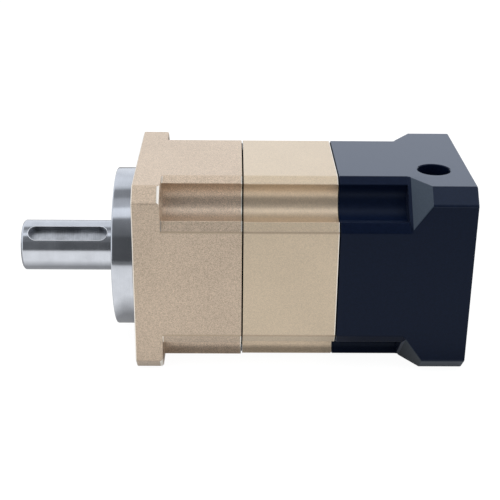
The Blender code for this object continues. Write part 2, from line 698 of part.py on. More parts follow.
def make_stages():
    make_planets("output", OUTPUT_PLANET_TEETH, OUTPUT_CENTRES, OUTPUT_PLANET, OUTPUT_PIN_RADIUS,
                 OUTPUT_CARRIER[0] + FIT)
    make_planets("input", INPUT_PLANET_TEETH, INPUT_CENTRES, INPUT_PLANET, INPUT_PIN_RADIUS,
                 INPUT_CARRIER[0] + FIT)
    half_pitch = math.pi / OUTPUT_SUN_TEETH
    make_sun("output_sun_gear", OUTPUT_SUN_TEETH, OUTPUT_SUN, INPUT_CARRIER[1] - FIT,
             FIRST_PLANET_ANGLE + half_pitch)
    make_sun("input_sun_gear", INPUT_SUN_TEETH, INPUT_SUN, 69.8 * MM, FIRST_PLANET_ANGLE)
    make_input_carrier()


# ---------------------------------------------------------------- input hub and clamp

def make_input_hub():
    seat_radius = INPUT_BEARING[0] - 0.05 * MM
    clip = INPUT_BEARING[2] - 0.1 * MM
    seal_radius = 14.0 * MM
    sleeve_front = 84.0 * MM
    motor_bore = (71.0 * MM, HUB_BACK, MOTOR_SHAFT_RADIUS)
    shank_bore = (62.2 * MM, 70.0 * MM, SUN_SHANK_RADIUS + FIT)
    outer = outer_side([
        (62.2 * MM, clip - CIRCLIP_THICKNESS - 0.2 * MM, seat_radius),
        (clip - CIRCLIP_THICKNESS - 0.2 * MM, clip, seat_radius - 0.6 * MM),
        (clip, INPUT_BEARING[3] + FIT, seat_radius),
        (INPUT_BEARING[3] + FIT, sleeve_front, seal_radius),
        (sleeve_front, HUB_BACK, SLEEVE_RADIUS),
    ])
    profile = [(0.0, motor_bore[0]), *inner_side([motor_bore]), *outer, *inner_side([shank_bore]),
               (0.0, shank_bore[1])]
    hub = turned_solid("input_hub", profile, TURNED_STEEL)
    half_slot = 0.5 * MM
    reach = SLEEVE_RADIUS + OVERRUN
    cross = [(half_slot, half_slot), (half_slot, reach), (-half_slot, reach), (-half_slot, half_slot)]
    slots = [point for quarter in range(4) for point in turned_about_axis(cross, quarter)[:3]]
    combine(hub, add_cutter("sleeve_slots", prism([slots], sleeve_front + 1.0 * MM,
                                                  HUB_BACK + OVERRUN)))


def make_clamp():
    """A split collar on the hub's sleeve, and the screw that closes it, upright under the access hole."""
    half_slit = 0.75 * MM
    bore = SLEEVE_RADIUS + 0.15 * MM
    split = math.pi
    outer_gap = math.asin(half_slit / COLLAR_RADIUS)
    inner_gap = math.asin(half_slit / bore)
    centre = (0.0, 0.0)
    outline = arc(COLLAR_RADIUS, centre, outer_gap - split, split - outer_gap, 32)
    outline += arc(bore, centre, split - inner_gap, inner_gap - split, 22)
    collar = add_part("clamp_collar", prism([outline], *COLLAR), ALUMINIUM)
    head_seat = 7.0 * MM
    thread_end = -10.0 * MM
    upright = (-math.pi / 2, 0.0, 0.0)
    place = (CLAMP_OFFSET, 0.0, CLAMP_STATION)
    shank_hole = prism([circle(SCREW_RADIUS + 0.15 * MM, steps=SMALL_STEPS)], thread_end - FIT,
                       head_seat + FIT)
    combine(collar, add_cutter("clamp_screw_hole", shank_hole, place, upright))
    head_hole = prism([circle(SCREW_HEAD_RADIUS + SEAT, steps=SMALL_STEPS)], head_seat, COLLAR_RADIUS)
    combine(collar, add_cutter("clamp_screw_seat", head_hole, place, upright))
    seat = head_seat + FIT
    top = seat + SCREW_HEAD_HEIGHT
    socket_radius = 1.7 * MM
    socket_floor = top - 2.0 * MM
    profile = [(0.0, socket_floor), (socket_radius, socket_floor), (socket_radius, top)]
    profile += outer_side([(thread_end, seat, SCREW_RADIUS), (seat, top, SCREW_HEAD_RADIUS)])
    screw = turned_solid("clamp_screw", profile + [(0.0, thread_end)], BLACK_SCREW, place, SMALL_STEPS)
    screw.rotation_euler = upright


make_output_housing()
make_ring_gear()
make_input_adapter()
make_pilot_ring()
make_seals()
make_o_rings()
make_housing_screws()
make_bearing("front", FRONT_BEARING)
make_bearing("rear", REAR_BEARING)
make_bearing("input", INPUT_BEARING)
make_circlips()
make_output_shaft()
make_stages()
make_input_hub()
make_clamp()
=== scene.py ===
import math

import bmesh
import bpy
from mathutils import Matrix, Vector


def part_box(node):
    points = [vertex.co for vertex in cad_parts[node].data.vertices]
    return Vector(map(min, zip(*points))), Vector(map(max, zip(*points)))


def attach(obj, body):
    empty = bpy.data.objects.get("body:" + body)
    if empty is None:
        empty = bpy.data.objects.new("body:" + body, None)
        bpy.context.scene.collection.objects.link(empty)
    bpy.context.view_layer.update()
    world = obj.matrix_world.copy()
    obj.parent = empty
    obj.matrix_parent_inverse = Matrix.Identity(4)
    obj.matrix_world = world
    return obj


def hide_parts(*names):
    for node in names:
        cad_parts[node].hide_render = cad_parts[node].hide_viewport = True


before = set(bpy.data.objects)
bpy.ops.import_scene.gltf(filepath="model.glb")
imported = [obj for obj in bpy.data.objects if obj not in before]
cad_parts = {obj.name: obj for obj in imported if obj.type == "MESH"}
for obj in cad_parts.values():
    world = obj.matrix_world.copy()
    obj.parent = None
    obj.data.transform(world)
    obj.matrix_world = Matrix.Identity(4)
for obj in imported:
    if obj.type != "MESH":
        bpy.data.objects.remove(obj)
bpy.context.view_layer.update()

MM = 0.001

# The housing's place in the world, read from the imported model
HOUSING_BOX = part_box("output_housing")
FACE_X = HOUSING_BOX[0].x
HALF = (HOUSING_BOX[1].y - HOUSING_BOX[0].y) / 2 / MM
AXIS_Z = HOUSING_BOX[0].z + HALF * MM


def station(x):
    """A place along the axis, in mm behind the output flange's face, from a world x in metres."""
    return (x - FACE_X) / MM


def ends(cad_node):
    """The stations where a CAD node starts and ends."""
    return [station(corner.x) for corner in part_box(cad_node)]


# Stations along the axis, mm behind the output flange's face
HOUSING_BACK = ends("output_housing")[1]
SHAFT_END, CARRIER_BACK = ends("output_shaft")
PILOT_FACE = ends("pilot_ring")[0]
SPIGOT_FRONT, SPIGOT_BACK = ends("ring_gear")
ADAPTER_FRONT, ADAPTER_BACK = ends("input_adapter")
SEAM = 0.3
SEAM_CUT = 0.07
HOUSING_END = HOUSING_BACK - SEAM_CUT
RING_FRONT = HOUSING_BACK + SEAM + SEAM_CUT
RING_BACK = ADAPTER_FRONT - SEAM
FLANGE_BACK = 8.3
RUN_OUT_END = FLANGE_BACK + 0.4
GROOVE_END = 81.55
RAMP_START = 82.5
REAR_FLANGE_START = 87.85

# Cross-section, mm
FLANGE_CORNER = 25.8
REAR_CORNER = 25.6
BODY_CORNER = 16.95
HOUSING_LIP = (28.6, 20.1)
BODY_LIP = (28.35, 19.8)
LIPS = {"housing": HOUSING_LIP, "body": BODY_LIP, "plain": BODY_LIP}
CORNERS = {"flange": FLANGE_CORNER, "rear": REAR_CORNER, "ramp": sum(BODY_LIP) - HALF}
BOLT_REACH = 35.0 / math.sqrt(2)
SCREW_PLACE = (15.2, 25.5)
SPIGOT_RADIUS = 24.5
PILOT_RADIUS = 25.0
SHAFT_RADIUS = 8.0
CAVITY_RADIUS = 21.0

# Key slot, mm, and the direction it faces
KEY_WIDTH = 5.0
KEY_LENGTH = 25.0
KEY_DEPTH = 3.0
KEY_MIDDLE = -22.5
KEY_ANGLE = math.radians(128.5)

# Gears
MODULE = 0.6
PRESSURE_ANGLE = math.radians(20.0)
BACKLASH = 0.1
ADDENDUM = 0.58
DEDENDUM = 0.75
FIRST_PLANET_ANGLE = math.radians(90.0)
RING_TEETH = 72
OUTPUT_DISTANCE = 14.4
INPUT_DISTANCE = 13.5

# Points in one quarter of a housing's outline
FLAT_POINTS = 13
ROUND_POINTS = 5
GROOVE_POINTS = 17

# Rounding of the housings' edges, mm
EDGE_REACH = 0.35
LIP_REACH = 0.3
CORNER_REACH = 0.5
FLANGE_ROUNDING = 0.9
BACK_EDGE = 0.3
EDGE_SLIDE = 0.26  # how far a long edge moves along the side face for each mm of inset


# ---- node helpers

def feed(node, values):
    """Fills a node's inputs by name: another node's socket is linked, and a plain value is set."""
    for name, value in values.items():
        socket = node.inputs[name]
        if isinstance(value, bpy.types.NodeSocket):
            node.id_data.links.new(value, socket)
        else:
            socket.default_value = value


def add_node(tree, kind, values=None, **settings):
    made = tree.nodes.new(kind)
    for name, value in settings.items():
        setattr(made, name, value)
    feed(made, values or {})
    return made


def new_material(name):
    """A material, its tree and its Principled shader."""
    material = bpy.data.materials.new(name)
    material.use_nodes = True
    return material, material.node_tree, material.node_tree.nodes["Principled BSDF"]


def object_coordinates(tree, scale=(1.0, 1.0, 1.0)):
    source = add_node(tree, "ShaderNodeTexCoord")
    mapping = add_node(tree, "ShaderNodeMapping", {"Vector": source.outputs["Object"], "Scale": scale})
    return mapping.outputs["Vector"]


def noise(vector, scale, detail=2.0, roughness=0.5):
    values = {"Vector": vector, "Scale": scale, "Detail": detail, "Roughness": roughness}
    return add_node(vector.id_data, "ShaderNodeTexNoise", values).outputs["Fac"]


def remap(value, low, high, from_low=0.25, from_high=0.75):
    """A value's span between two bounds, stretched to run from low to high and held at its ends."""
    values = {"Value": value, "From Min": from_low, "From Max": from_high, "To Min": low, "To Max": high}
    return add_node(value.id_data, "ShaderNodeMapRange", values).outputs["Result"]


def arithmetic(operation, first, second=0.0):
    made = add_node(first.id_data, "ShaderNodeMath", {0: first, 1: second}, operation=operation)
    return made.outputs["Value"]


def mixed(factor, first, second, kind="RGBA"):
    """A blend of two colours or numbers, by a factor from 0 to 1."""
    values = {"Factor": factor, "A": first, "B": second}
    return add_node(factor.id_data, "ShaderNodeMix", values, data_type=kind).outputs["Result"]


def tinted(factor, dark, light):
    return mixed(factor, (*dark, 1.0), (*light, 1.0))


def emboss(shader, height, strength, depth):
    """Gives a shader small bumps, up to depth metres high."""
    values = {"Height": height, "Strength": strength, "Distance": depth}
    bump = add_node(shader.id_data, "ShaderNodeBump", values)
    feed(shader, {"Normal": bump.outputs["Normal"]})


# ---- materials

def blasted_surface(name, dark, light, roughness, grain, speckle, depth):
    """The speckle, the cloudy drift in tone and the grainy relief of a blasted and anodised surface."""
    material, tree, shader = new_material(name)
    vector = object_coordinates(tree)
    fine = noise(vector, grain, 1.0, 0.6)
    cells = add_node(tree, "ShaderNodeTexVoronoi", {"Vector": vector, "Scale": grain * 0.8})
    shade = add_node(tree, "ShaderNodeSeparateColor", {"Color": cells.outputs["Color"]}).outputs
    speckles = arithmetic("ADD", remap(fine, -speckle, speckle, 0.3, 0.7),
                          remap(shade["Red"], -speckle, speckle, 0.0, 1.0))
    drift = arithmetic("ADD", speckles, remap(noise(vector, 60.0), 0.45, 0.55))
    feed(shader, {"Base Color": tinted(drift, dark, light),
                  "Roughness": remap(fine, roughness - 0.06, roughness + 0.06)})
    emboss(shader, arithmetic("ADD", fine, shade["Green"]), 0.35, depth)
    return material, tree, shader


def gold_material(name, dark, light, metallic, roughness, grain, speckle, depth, coat):
    """Gold anodised aluminium: tinted metal under a thin clear layer."""
    material, _, shader = blasted_surface(name, dark, light, roughness, grain, speckle, depth)
    feed(shader, {"Metallic": metallic, "Coat Weight": coat, "Coat Roughness": 0.35})
    return material


def black_material(name, dark, light, roughness, depth, gloss, grazing_gloss=None):
    """Black anodised aluminium, whose bluish gloss can grow where it is seen at a low angle."""
    material, tree, shader = blasted_surface(name, dark, light, roughness, 3400.0, 0.25, depth)
    feed(shader, {"IOR": 1.8, "Specular Tint": (0.68, 0.80, 1.0, 1.0), "Specular IOR Level": gloss})
    if grazing_gloss:
        facing = add_node(tree, "ShaderNodeLayerWeight", {"Blend": 0.5}).outputs["Facing"]
        feed(shader, {"Specular IOR Level": remap(facing, gloss, grazing_gloss, 0.50, 0.61)})
    return material


def turned_material(name, dark, light, roughness, pitch=9000.0, axis=0, marks=0.12, stain=0.3):
    """Bright metal with fine tool marks, pitch of them in a metre along an axis."""
    material, tree, shader = new_material(name)
    scale = [1.0, 1.0, 1.0]
    scale[axis] = pitch
    rings = noise(object_coordinates(tree, scale), 1.0)
    stains = noise(object_coordinates(tree), 220.0, 3.0)
    tone = arithmetic("ADD", rings, remap(stains, -stain / 2, stain / 2))
    feed(shader, {"Base Color": tinted(remap(tone, 0.0, 1.0), dark, light), "Metallic": 1.0,
                  "Roughness": remap(tone, roughness - 0.03, roughness + 0.04)})
    emboss(shader, rings, marks, 0.004 * MM)
    return material


def rubber_material():
    material, tree, shader = new_material("black_rubber")
    vector = object_coordinates(tree)
    dust = noise(vector, 900.0, 3.0)
    tone = tinted(remap(dust, 0.0, 1.0), (0.010, 0.010, 0.011), (0.030, 0.030, 0.032))
    feed(shader, {"Base Color": tone, "Roughness": remap(dust, 0.50, 0.72)})
    emboss(shader, noise(vector, 4000.0), 0.2, 0.01 * MM)
    return material


# Golds: dark and light tone, then metallic, roughness, grains in a metre, speckle, relief and coat
BLASTED_GOLD = gold_material("blasted_gold", (0.33, 0.255, 0.184), (0.79, 0.633, 0.483),
                             0.5, 0.47, 6200.0, 0.28, 0.038 * MM, 0.4)
MACHINED_GOLD = gold_material("machined_gold", (0.43, 0.346, 0.247), (0.77, 0.624, 0.445),
                              0.5, 0.45, 6200.0, 0.2, 0.02 * MM, 0.8)
# The grooves' golds, for the housing and the ring: more metallic and smoother than the flats', and lighter in
# tone, which is painted light lifting the shade in the grooves.
BLASTED_GROOVE = gold_material("blasted_groove", (0.39, 0.306, 0.232), (0.92, 0.73, 0.562),
                               0.8, 0.36, 5600.0, 0.26, 0.038 * MM, 0.15)
MACHINED_GROOVE = gold_material("machined_groove", (0.54, 0.434, 0.317), (0.87, 0.703, 0.517),
                                0.8, 0.36, 4800.0, 0.18, 0.02 * MM, 0.2)
# A near-white, mirror-like gold for rounded edges and narrow bands: a painted highlight along them.
PAINTED_HIGHLIGHT_EDGE = gold_material("painted_highlight_edge", (0.88, 0.82, 0.73), (1.0, 0.96, 0.88),
                            1.0, 0.34, 5200.0, 0.1, 0.004 * MM, 0.3)
# A darker gold for the rounded shoulders between side faces and slanted flats: painted shade along those
# edges.
SHADED_EDGE = gold_material("shaded_edge", (0.44, 0.345, 0.248), (0.58, 0.46, 0.34),
                            0.6, 0.55, 4200.0, 0.2, 0.01 * MM, 0.1)

# Blacks: dark and light tone, roughness, relief, gloss, and gloss at a low angle where it grows
BLUE_BLACK = (0.001, 0.003, 0.011), (0.0028, 0.0065, 0.021)
BLACK_ANODISED = black_material("black_anodised", *BLUE_BLACK, 0.34, 0.012 * MM, 0.082, 0.97)
CORNER_BLACK = black_material("corner_black", *BLUE_BLACK, 0.34, 0.012 * MM, 0.21, 0.97)
MILLED_BLACK = black_material("milled_black", (0.004, 0.009, 0.016), (0.012, 0.021, 0.03), 0.36,
                              0.01 * MM, 0.38)
# Near-black for the faces inside the seams between the housings: a dark sealant line, made darker as painted
# shade of the narrow gap.
SEAM_BLACK = black_material("seam_black", (0.001, 0.001, 0.0014), (0.003, 0.003, 0.004), 0.7,
                            0.01 * MM, 0.0)

# Turned metals: dark and light tone, roughness and tool marks in a metre
BRIGHT_STEEL = (0.5, 0.52, 0.56), (0.65, 0.675, 0.725)
TURNED_STEEL = turned_material("turned_steel", *BRIGHT_STEEL, 0.1)
GROUND_STEEL = turned_material("ground_steel", *BRIGHT_STEEL, 0.145)
MILLED_STEEL = turned_material("milled_steel", (0.42, 0.435, 0.46), (0.8, 0.825, 0.86), 0.4, 5200.0,
                               marks=0.5, stain=0.8)
# A near-white steel for the key slot's rim bead: a painted highlight.
PAINTED_HIGHLIGHT_STEEL = turned_material("painted_highlight_steel", (0.84, 0.86, 0.9), (0.96, 0.97, 1.0), 0.45, 5200.0)
SLOT_STEEL = turned_material("slot_steel", (0.17, 0.18, 0.205), (0.3, 0.315, 0.35), 0.36, 5200.0)
BEARING_STEEL = turned_material("bearing_steel", (0.5, 0.51, 0.53), (0.64, 0.65, 0.67), 0.12)
GEAR_STEEL = turned_material("gear_steel", (0.22, 0.22, 0.23), (0.4, 0.4, 0.41), 0.3, 4000.0)
SPRING_STEEL = turned_material("spring_steel", (0.05, 0.05, 0.055), (0.12, 0.12, 0.13), 0.32, 3000.0, 1)
CAGE_STEEL = turned_material("cage_steel", (0.42, 0.42, 0.44), (0.6, 0.6, 0.62), 0.24, 1500.0, 1)
BRONZE = turned_material("bronze", (0.42, 0.24, 0.09), (0.62, 0.38, 0.17), 0.28, 5000.0)
PLAIN_ALUMINIUM = turned_material("plain_aluminium", (0.6, 0.61, 0.63), (0.8, 0.81, 0.83), 0.26, 5000.0)
BLACK_SCREW = turned_material("black_screw", (0.018, 0.018, 0.02), (0.055, 0.055, 0.06), 0.34, 2500.0)
BLACK_RUBBER = rubber_material()


# ---- pieces

def add_object(name, data):
    made = bpy.data.objects.new(name, data)
    bpy.context.scene.collection.objects.link(made)
    return made


def place(piece, body, slot, *nodes):
    """Ties a finished piece to its body and the CAD nodes it stands for. Its material slot is not used."""
    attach(piece, body)
    if nodes:
        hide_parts(*nodes)


def mesh_piece(name, vertices, faces, material=None):
    mesh = bpy.data.meshes.new(name)
    mesh.from_pydata(vertices, [], faces)
    if material:
        mesh.materials.append(material)
    clean(mesh)
    smooth(mesh)
    return add_object(name, mesh)


def clean(mesh):
    """Merges the points that coincide and turns the faces outward."""
    bm = bmesh.new()
    bm.from_mesh(mesh)
    bmesh.ops.remove_doubles(bm, verts=bm.verts, dist=0.0005 * MM)
    bmesh.ops.recalc_face_normals(bm, faces=bm.faces)
    bm.to_mesh(mesh)
    bm.free()


def smooth(mesh):
    """Shades a mesh smooth, but for its sharp edges."""
    mesh.shade_smooth()
    mesh.set_sharp_from_angle(angle=math.radians(32.0))


def weight_normals(piece):
    """Keeps wide faces flat beside their rounded edges."""
    piece.modifiers.new("Weighted", "WEIGHTED_NORMAL").keep_sharp = True


def point(x, y, z):
    """World coordinates from a station and a place in the cross-section, all in mm."""
    return (FACE_X + x * MM, y * MM, AXIS_Z + z * MM)


def on_clamp_line(height):
    """A place on the line, up from the clamp screw, that the access hole is centred on."""
    return (90.6, -10.7, height)


def polar(radius, angle, centre=(0.0, 0.0)):
    return (centre[0] + radius * math.cos(angle), centre[1] + radius * math.sin(angle))


def circle(radius, count, centre=(0.0, 0.0)):
    return [polar(radius, 2 * math.pi * i / count, centre) for i in range(count)]


def skin(loops, capped=False):
    """Faces between each loop and the next. The last loop joins the first unless both are capped.

    The points are numbered loop after loop, and a loop can be a single point."""
    rows = []
    for loop in loops:
        start = rows[-1].stop if rows else 0
        rows.append(range(start, start + len(loop)))
    faces = [tuple(rows[0]), tuple(rows[-1])] if capped else []
    for row, after in zip(rows, rows[1:] if capped else rows[1:] + rows[:1]):
        count = max(len(row), len(after))
        for j in range(count):
            k = (j + 1) % count
            face = dict.fromkeys((row[j % len(row)], row[k % len(row)],
                                  after[k % len(after)], after[j % len(after)]))
            if len(face) > 2:
                faces.append(tuple(face))
    return faces


def tube(name, sections, material):
    """A closed skin through sections of (station, loop): out along the outside and back along the bore."""
    loops = [[point(x, y, z) for y, z in loop] for x, loop in sections]
    return mesh_piece(name, sum(loops, []), skin(loops), material)


def lathe(name, profile, material, centre=(0.0, 0.0), segments=96):
    """A closed profile of (station, radius), outside from front to back and then the bore, turned.

    A profile that starts and ends on the axis makes a solid."""
    return tube(name, [(x, circle(radius, segments if radius > 0.001 else 1, centre))
                       for x, radius in profile], material)


def rounded(points, size, steps=3, closed=True):
    """The points with each corner cut back by size and filled with a small curve."""
    made = []
    count = len(points)
    for i, corner in enumerate(points):
        if not closed and i in (0, count - 1):
            made.append(corner)
            continue
        before, after = points[i - 1], points[(i + 1) % count]
        reach = min(size, 0.45 * math.dist(before, corner), 0.45 * math.dist(after, corner))
        made += corner_curve(before, corner, after, reach, steps)
    return made


def corner_curve(before, corner, after, reach, steps=ROUND_POINTS - 1):
    """A curve from reach before a corner to reach after it."""
    before, corner, after = Vector(before), Vector(corner), Vector(after)
    start = corner + (before - corner).normalized() * reach
    end = corner + (after - corner).normalized() * reach
    return [tuple(start * (1 - t) ** 2 + corner * 2 * t * (1 - t) + end * t ** 2)
            for t in (i / steps for i in range(steps + 1))]


def turned_ring(name, front, back, inner, outer, material, edge=0.25, steps=3, **turning):
    """A plain ring with rounded edges."""
    profile = [(front, outer), (back, outer), (back, inner), (front, inner)]
    return lathe(name, rounded(profile, edge, steps), material, **turning)


# ---- cutting

def cutter(loops, matrix):
    """A solid to cut with, through loops of points in mm, placed by a matrix in metres."""
    return mesh_piece("cutter", [matrix @ (Vector(p) * MM) for p in sum(loops, [])], skin(loops, True))


def placed_along(start, forward, axis="Z", up="Y"):
    """A matrix that moves the origin to start and turns an axis forward."""
    return Matrix.Translation(start) @ forward.to_track_quat(axis, up).to_matrix().to_4x4()


def round_cutter(start, end, radius, steps=48, countersink=0.0):
    """A round cutter between two places in mm, widened by a countersink at its end."""
    start, end = Vector(point(*start)), Vector(point(*end))
    length = (end - start).length / MM
    overrun = 0.5
    profile = [(0.0, radius), (length + overrun, radius + countersink)]
    if countersink:
        profile[1:1] = [(length - countersink, radius), (length, radius + countersink)]
    return cutter([[(x, y, height) for x, y in circle(r, steps)] for height, r in profile],
                  placed_along(start, end - start))


def axial_cutters(places, start, end, radius, steps=48, countersink=0.0):
    """Round cutters along the axis between two stations, one at each place in the cross-section."""
    return [round_cutter((start, y, z), (end, y, z), radius, steps, countersink) for y, z in places]


def prism_cutter(points, bottom, top, matrix):
    """A cutter with a flat outline between two heights, placed by a matrix in metres."""
    return cutter([[(x, y, height) for x, y in points] for height in (bottom, top)], matrix)


def section_cutter(points, front, back):
    """A cutter with an outline in the cross-section, between two stations."""
    turn = Matrix(((0, 0, 1), (1, 0, 0), (0, 1, 0))).to_4x4()
    return prism_cutter(points, front, back, Matrix.Translation(point(0.0, 0.0, 0.0)) @ turn)


def carve(piece, cutters):
    """Cuts the piece with each cutter and keeps the result as its mesh."""
    for number, tool in enumerate(cutters):
        cut = piece.modifiers.new("Cut%d" % number, "BOOLEAN")
        cut.operation = "DIFFERENCE"
        cut.solver = "EXACT"
        cut.object = tool
    depsgraph = bpy.context.evaluated_depsgraph_get()
    depsgraph.update()
    carved = bpy.data.meshes.new_from_object(piece.evaluated_get(depsgraph))
    piece.modifiers.clear()
    piece.data = carved
    for tool in cutters:
        bpy.data.objects.remove(tool)
    smooth(carved)


# ---- housing outlines

def all_quarters(points):
    """The points at each quarter turn about the axis."""
    made = []
    for _ in range(4):
        made += points
        points = [(-z, y) for y, z in points]
    return made


def along(start, end, count):
    """Points between two, without the ends."""
    return [(start[0] + (end[0] - start[0]) * i / (count + 1),
             start[1] + (end[1] - start[1]) * i / (count + 1)) for i in range(1, count + 1)]


def swapped(points):
    """The points mirrored in the corner's diagonal."""
    return [(z, y) for y, z in reversed(points)]


def grooved_corner(lip, inset, grooved):
    """A slanted flat, then half of the groove behind its lip, or half of the chord across it."""
    half = HALF - inset
    slant = Vector((lip[1] - BODY_CORNER, HALF - lip[0])).normalized()
    lip = Vector(lip) - slant * inset
    edge = (half, BODY_CORNER - inset * EDGE_SLIDE)
    first = corner_curve((half, 0.0), edge, lip, EDGE_REACH)
    if not grooved:
        chord = along(lip, lip.yx, 2 * ROUND_POINTS + GROOVE_POINTS)
        return first, chord[:ROUND_POINTS], chord[ROUND_POINTS:-ROUND_POINTS]
    centre = Vector((BOLT_REACH, BOLT_REACH))
    tangent = Vector((lip.y - centre.y, centre.x - lip.x))
    second = corner_curve(edge, lip, lip + tangent, LIP_REACH)
    start = math.atan2(second[-1][1] - centre.y, second[-1][0] - centre.x) % (2 * math.pi)
    end = math.radians(450.0) - start
    middle = [polar(tangent.length, start + (end - start) * i / (GROOVE_POINTS + 1), centre)
              for i in range(1, GROOVE_POINTS + 1)]
    return first, second, middle


def square_corner(corner, inset, corner_inset):
    """A narrow flat at 45 degrees across a corner."""
    half = HALF - inset
    edge = (half, HALF + corner - (inset + corner_inset) * math.sqrt(2) - half)
    second = corner_curve((half, 0.0), edge, edge[::-1], CORNER_REACH)
    first = along((half, BODY_CORNER - 0.5), (half, BODY_CORNER + 0.5), ROUND_POINTS)
    return first, second, along(second[-1], second[-1][::-1], GROOVE_POINTS)


def outline(kind, inset=0.0, corner_inset=0.0):
    """One loop of a housing's cross-section in mm, with the same points in the same order for each kind.

    housing and body have grooved corners, plain has them without the groove, and the rest have narrow
    flats. inset moves the whole outline in, and corner_inset only its corners."""
    if kind in LIPS:
        first, second, middle = grooved_corner(LIPS[kind], inset, kind != "plain")
    else:
        first, second, middle = square_corner(CORNERS[kind], inset, corner_inset)
    reach = BODY_CORNER - 1.0
    side = [(HALF - inset, -reach + 2 * reach * i / (FLAT_POINTS - 1)) for i in range(FLAT_POINTS)]
    return all_quarters(side + first + second + middle + swapped(second) + swapped(first))


def circle_like(loop, radius):
    """A circle with its points at the same angles as a loop's."""
    return [polar(radius, math.atan2(z, y)) for y, z in loop]


def quarter_round(size, steps=4):
    """Steps round a quarter circle: how far each is from its start, and from the side that it ends on."""
    return [(size * (1 - math.cos(a)), size * (1 - math.sin(a)))
            for a in (math.pi / 2 * i / steps for i in range(steps + 1))]


def rounded_end(kind, end, direction, size, steps=4):
    """Sections that round an outline's edge at an end face, from the face to the full outline."""
    return [(end + direction * x, outline(kind, inset=inset)) for x, inset in quarter_round(size, steps)]


def bore(steps):
    """Circular sections down a bore from (station, radius) corners, each with a small chamfer."""
    loop = outline("body")
    return [(x, circle_like(loop, radius)) for x, radius in rounded(steps, 0.25, 2, closed=False)]


# ---- materials for some faces: real finish, painted highlights and painted shade

def finish_and_paint_light_on_faces(piece, *finishes_and_painted_light):
    """Gives other materials to some faces: real surface finish, painted highlights and painted shade. Each is
    a material and a test, and a later one wins.

    A test is given a face's station, its place in the cross-section and its normal, and says whether
    the face is part of what the test is named after."""
    for material, chosen in finishes_and_painted_light:
        piece.data.materials.append(material)
        for face in piece.data.polygons:
            centre = face.center
            section = (abs(centre.y) / MM, abs(centre.z - AXIS_Z) / MM)
            if chosen(station(centre.x), section, face.normal):
                face.material_index = len(piece.data.materials) - 1


def is_flange_rounding(x, section, normal):
    """The rounded back edge of the flange's corners."""
    turned_out = abs(abs(normal.y) - abs(normal.z)) < 0.15
    return FLANGE_BACK - FLANGE_ROUNDING < x < FLANGE_BACK + 0.01 and turned_out and 0.1 < normal.x < 0.97


def is_run_out(x, section, normal):
    """The start of a corner's slanted flat, right behind the flange."""
    slanted = 0.4 < abs(normal.y) < 0.93 and 0.4 < abs(normal.z) < 0.93
    return FLANGE_BACK < x < RUN_OUT_END and slanted and max(section) > HOUSING_LIP[0]


def is_front_shoulder(x, section, normal):
    """The rounded edge between a side face and a slanted flat."""
    return x > FLANGE_BACK and math.dist(section, (HALF, BODY_CORNER)) < EDGE_REACH * 0.8


def is_groove(x, section, normal):
    return x > RUN_OUT_END and min(section) > 17.9 and max(section) < 28.5 and abs(normal.x) < 0.2


def is_back_edge(x, section, normal):
    """The corners' narrow band in front of the output housing's back end."""
    return HOUSING_END - BACK_EDGE < x < HOUSING_END - 0.03 and min(section) > BODY_CORNER + 0.3


def is_front_edge(x, section, normal):
    return x < 0.45 and max(section) > 25.5 and -0.95 < normal.x < -0.25


def is_lip(x, section, normal):
    """The rounded lip of a corner's groove."""
    distance = min(math.dist(sorted(section, reverse=True), lip) for lip in (HOUSING_LIP, BODY_LIP))
    return abs(normal.x) < 0.2 and distance < LIP_REACH * 1.1


def is_rear_corner(x, section, normal):
    return x > REAR_FLANGE_START and min(section) > REAR_CORNER - 0.4 and abs(normal.x) < 0.8


def is_ramp(x, section, normal):
    return RAMP_START < x < REAR_FLANGE_START and -0.9 < normal.x < -0.3


def is_slot_floor(x, section, normal):
    on_floor = abs(math.hypot(*section) - (SHAFT_RADIUS - KEY_DEPTH + 0.2)) < 0.4
    return x < -5.0 and on_floor and abs(normal.x) < 0.1


def is_slot_wall(x, section, normal):
    in_slot = SHAFT_RADIUS - KEY_DEPTH < math.hypot(*section) < SHAFT_RADIUS - 0.35
    return x < -5.0 and in_slot and abs(normal.x) < 0.99


# ---- housings

BOLT_PLACES = all_quarters([(BOLT_REACH, BOLT_REACH)])
SCREW_PLACES = all_quarters([SCREW_PLACE])
SCREW_SEAT = 88.0


def make_output_housing():
    """Blasted gold housing: square flange in front, grooved body behind."""
    sections = rounded_end("flange", 0.0, 1, 0.45)
    sections += [(FLANGE_BACK - ahead, outline("flange", corner_inset=inset))
                 for inset, ahead in quarter_round(FLANGE_ROUNDING)]
    sections += [(x, outline("housing")) for x in (FLANGE_BACK + 0.06, RUN_OUT_END, HOUSING_END - BACK_EDGE)]
    sections += reversed(rounded_end("housing", HOUSING_END, -1, 0.1, 2))
    land = HOUSING_BACK + SEAM - 0.05
    sections += [(HOUSING_END, outline("housing", inset=0.8)), (land, outline("housing", inset=0.85))]
    sections += bore([(land, SPIGOT_RADIUS + 0.15), (30.3, SPIGOT_RADIUS + 0.15), (30.3, 21.1),
                      (15.7, 21.1), (15.7, 15.0), (12.7, 15.0), (12.7, 17.6), (2.5, 17.6), (2.5, 20.05),
                      (0.0, 20.05)])
    housing = tube("output_housing_shell", sections, BLASTED_GOLD)
    carve(housing, axial_cutters(BOLT_PLACES, FLANGE_BACK + 6.0, 0.0, 2.75, countersink=0.3)
          + axial_cutters(SCREW_PLACES, 22.0, HOUSING_BACK + 1.0, 2.05, 32))
    finish_and_paint_light_on_faces(housing, (SHADED_EDGE, is_front_shoulder), (BLASTED_GROOVE, is_groove),
                 (SEAM_BLACK, lambda x, section, normal: x > HOUSING_END - 0.02),
                 # The near-white back band, flange rounding, front edge and run-out are painted highlights.
                 (PAINTED_HIGHLIGHT_EDGE, is_back_edge), (PAINTED_HIGHLIGHT_EDGE, is_flange_rounding),
                 (PAINTED_HIGHLIGHT_EDGE, is_front_edge), (PAINTED_HIGHLIGHT_EDGE, is_run_out))
    weight_normals(housing)
    place(housing, "housing", "blasted_gold", "output_housing")


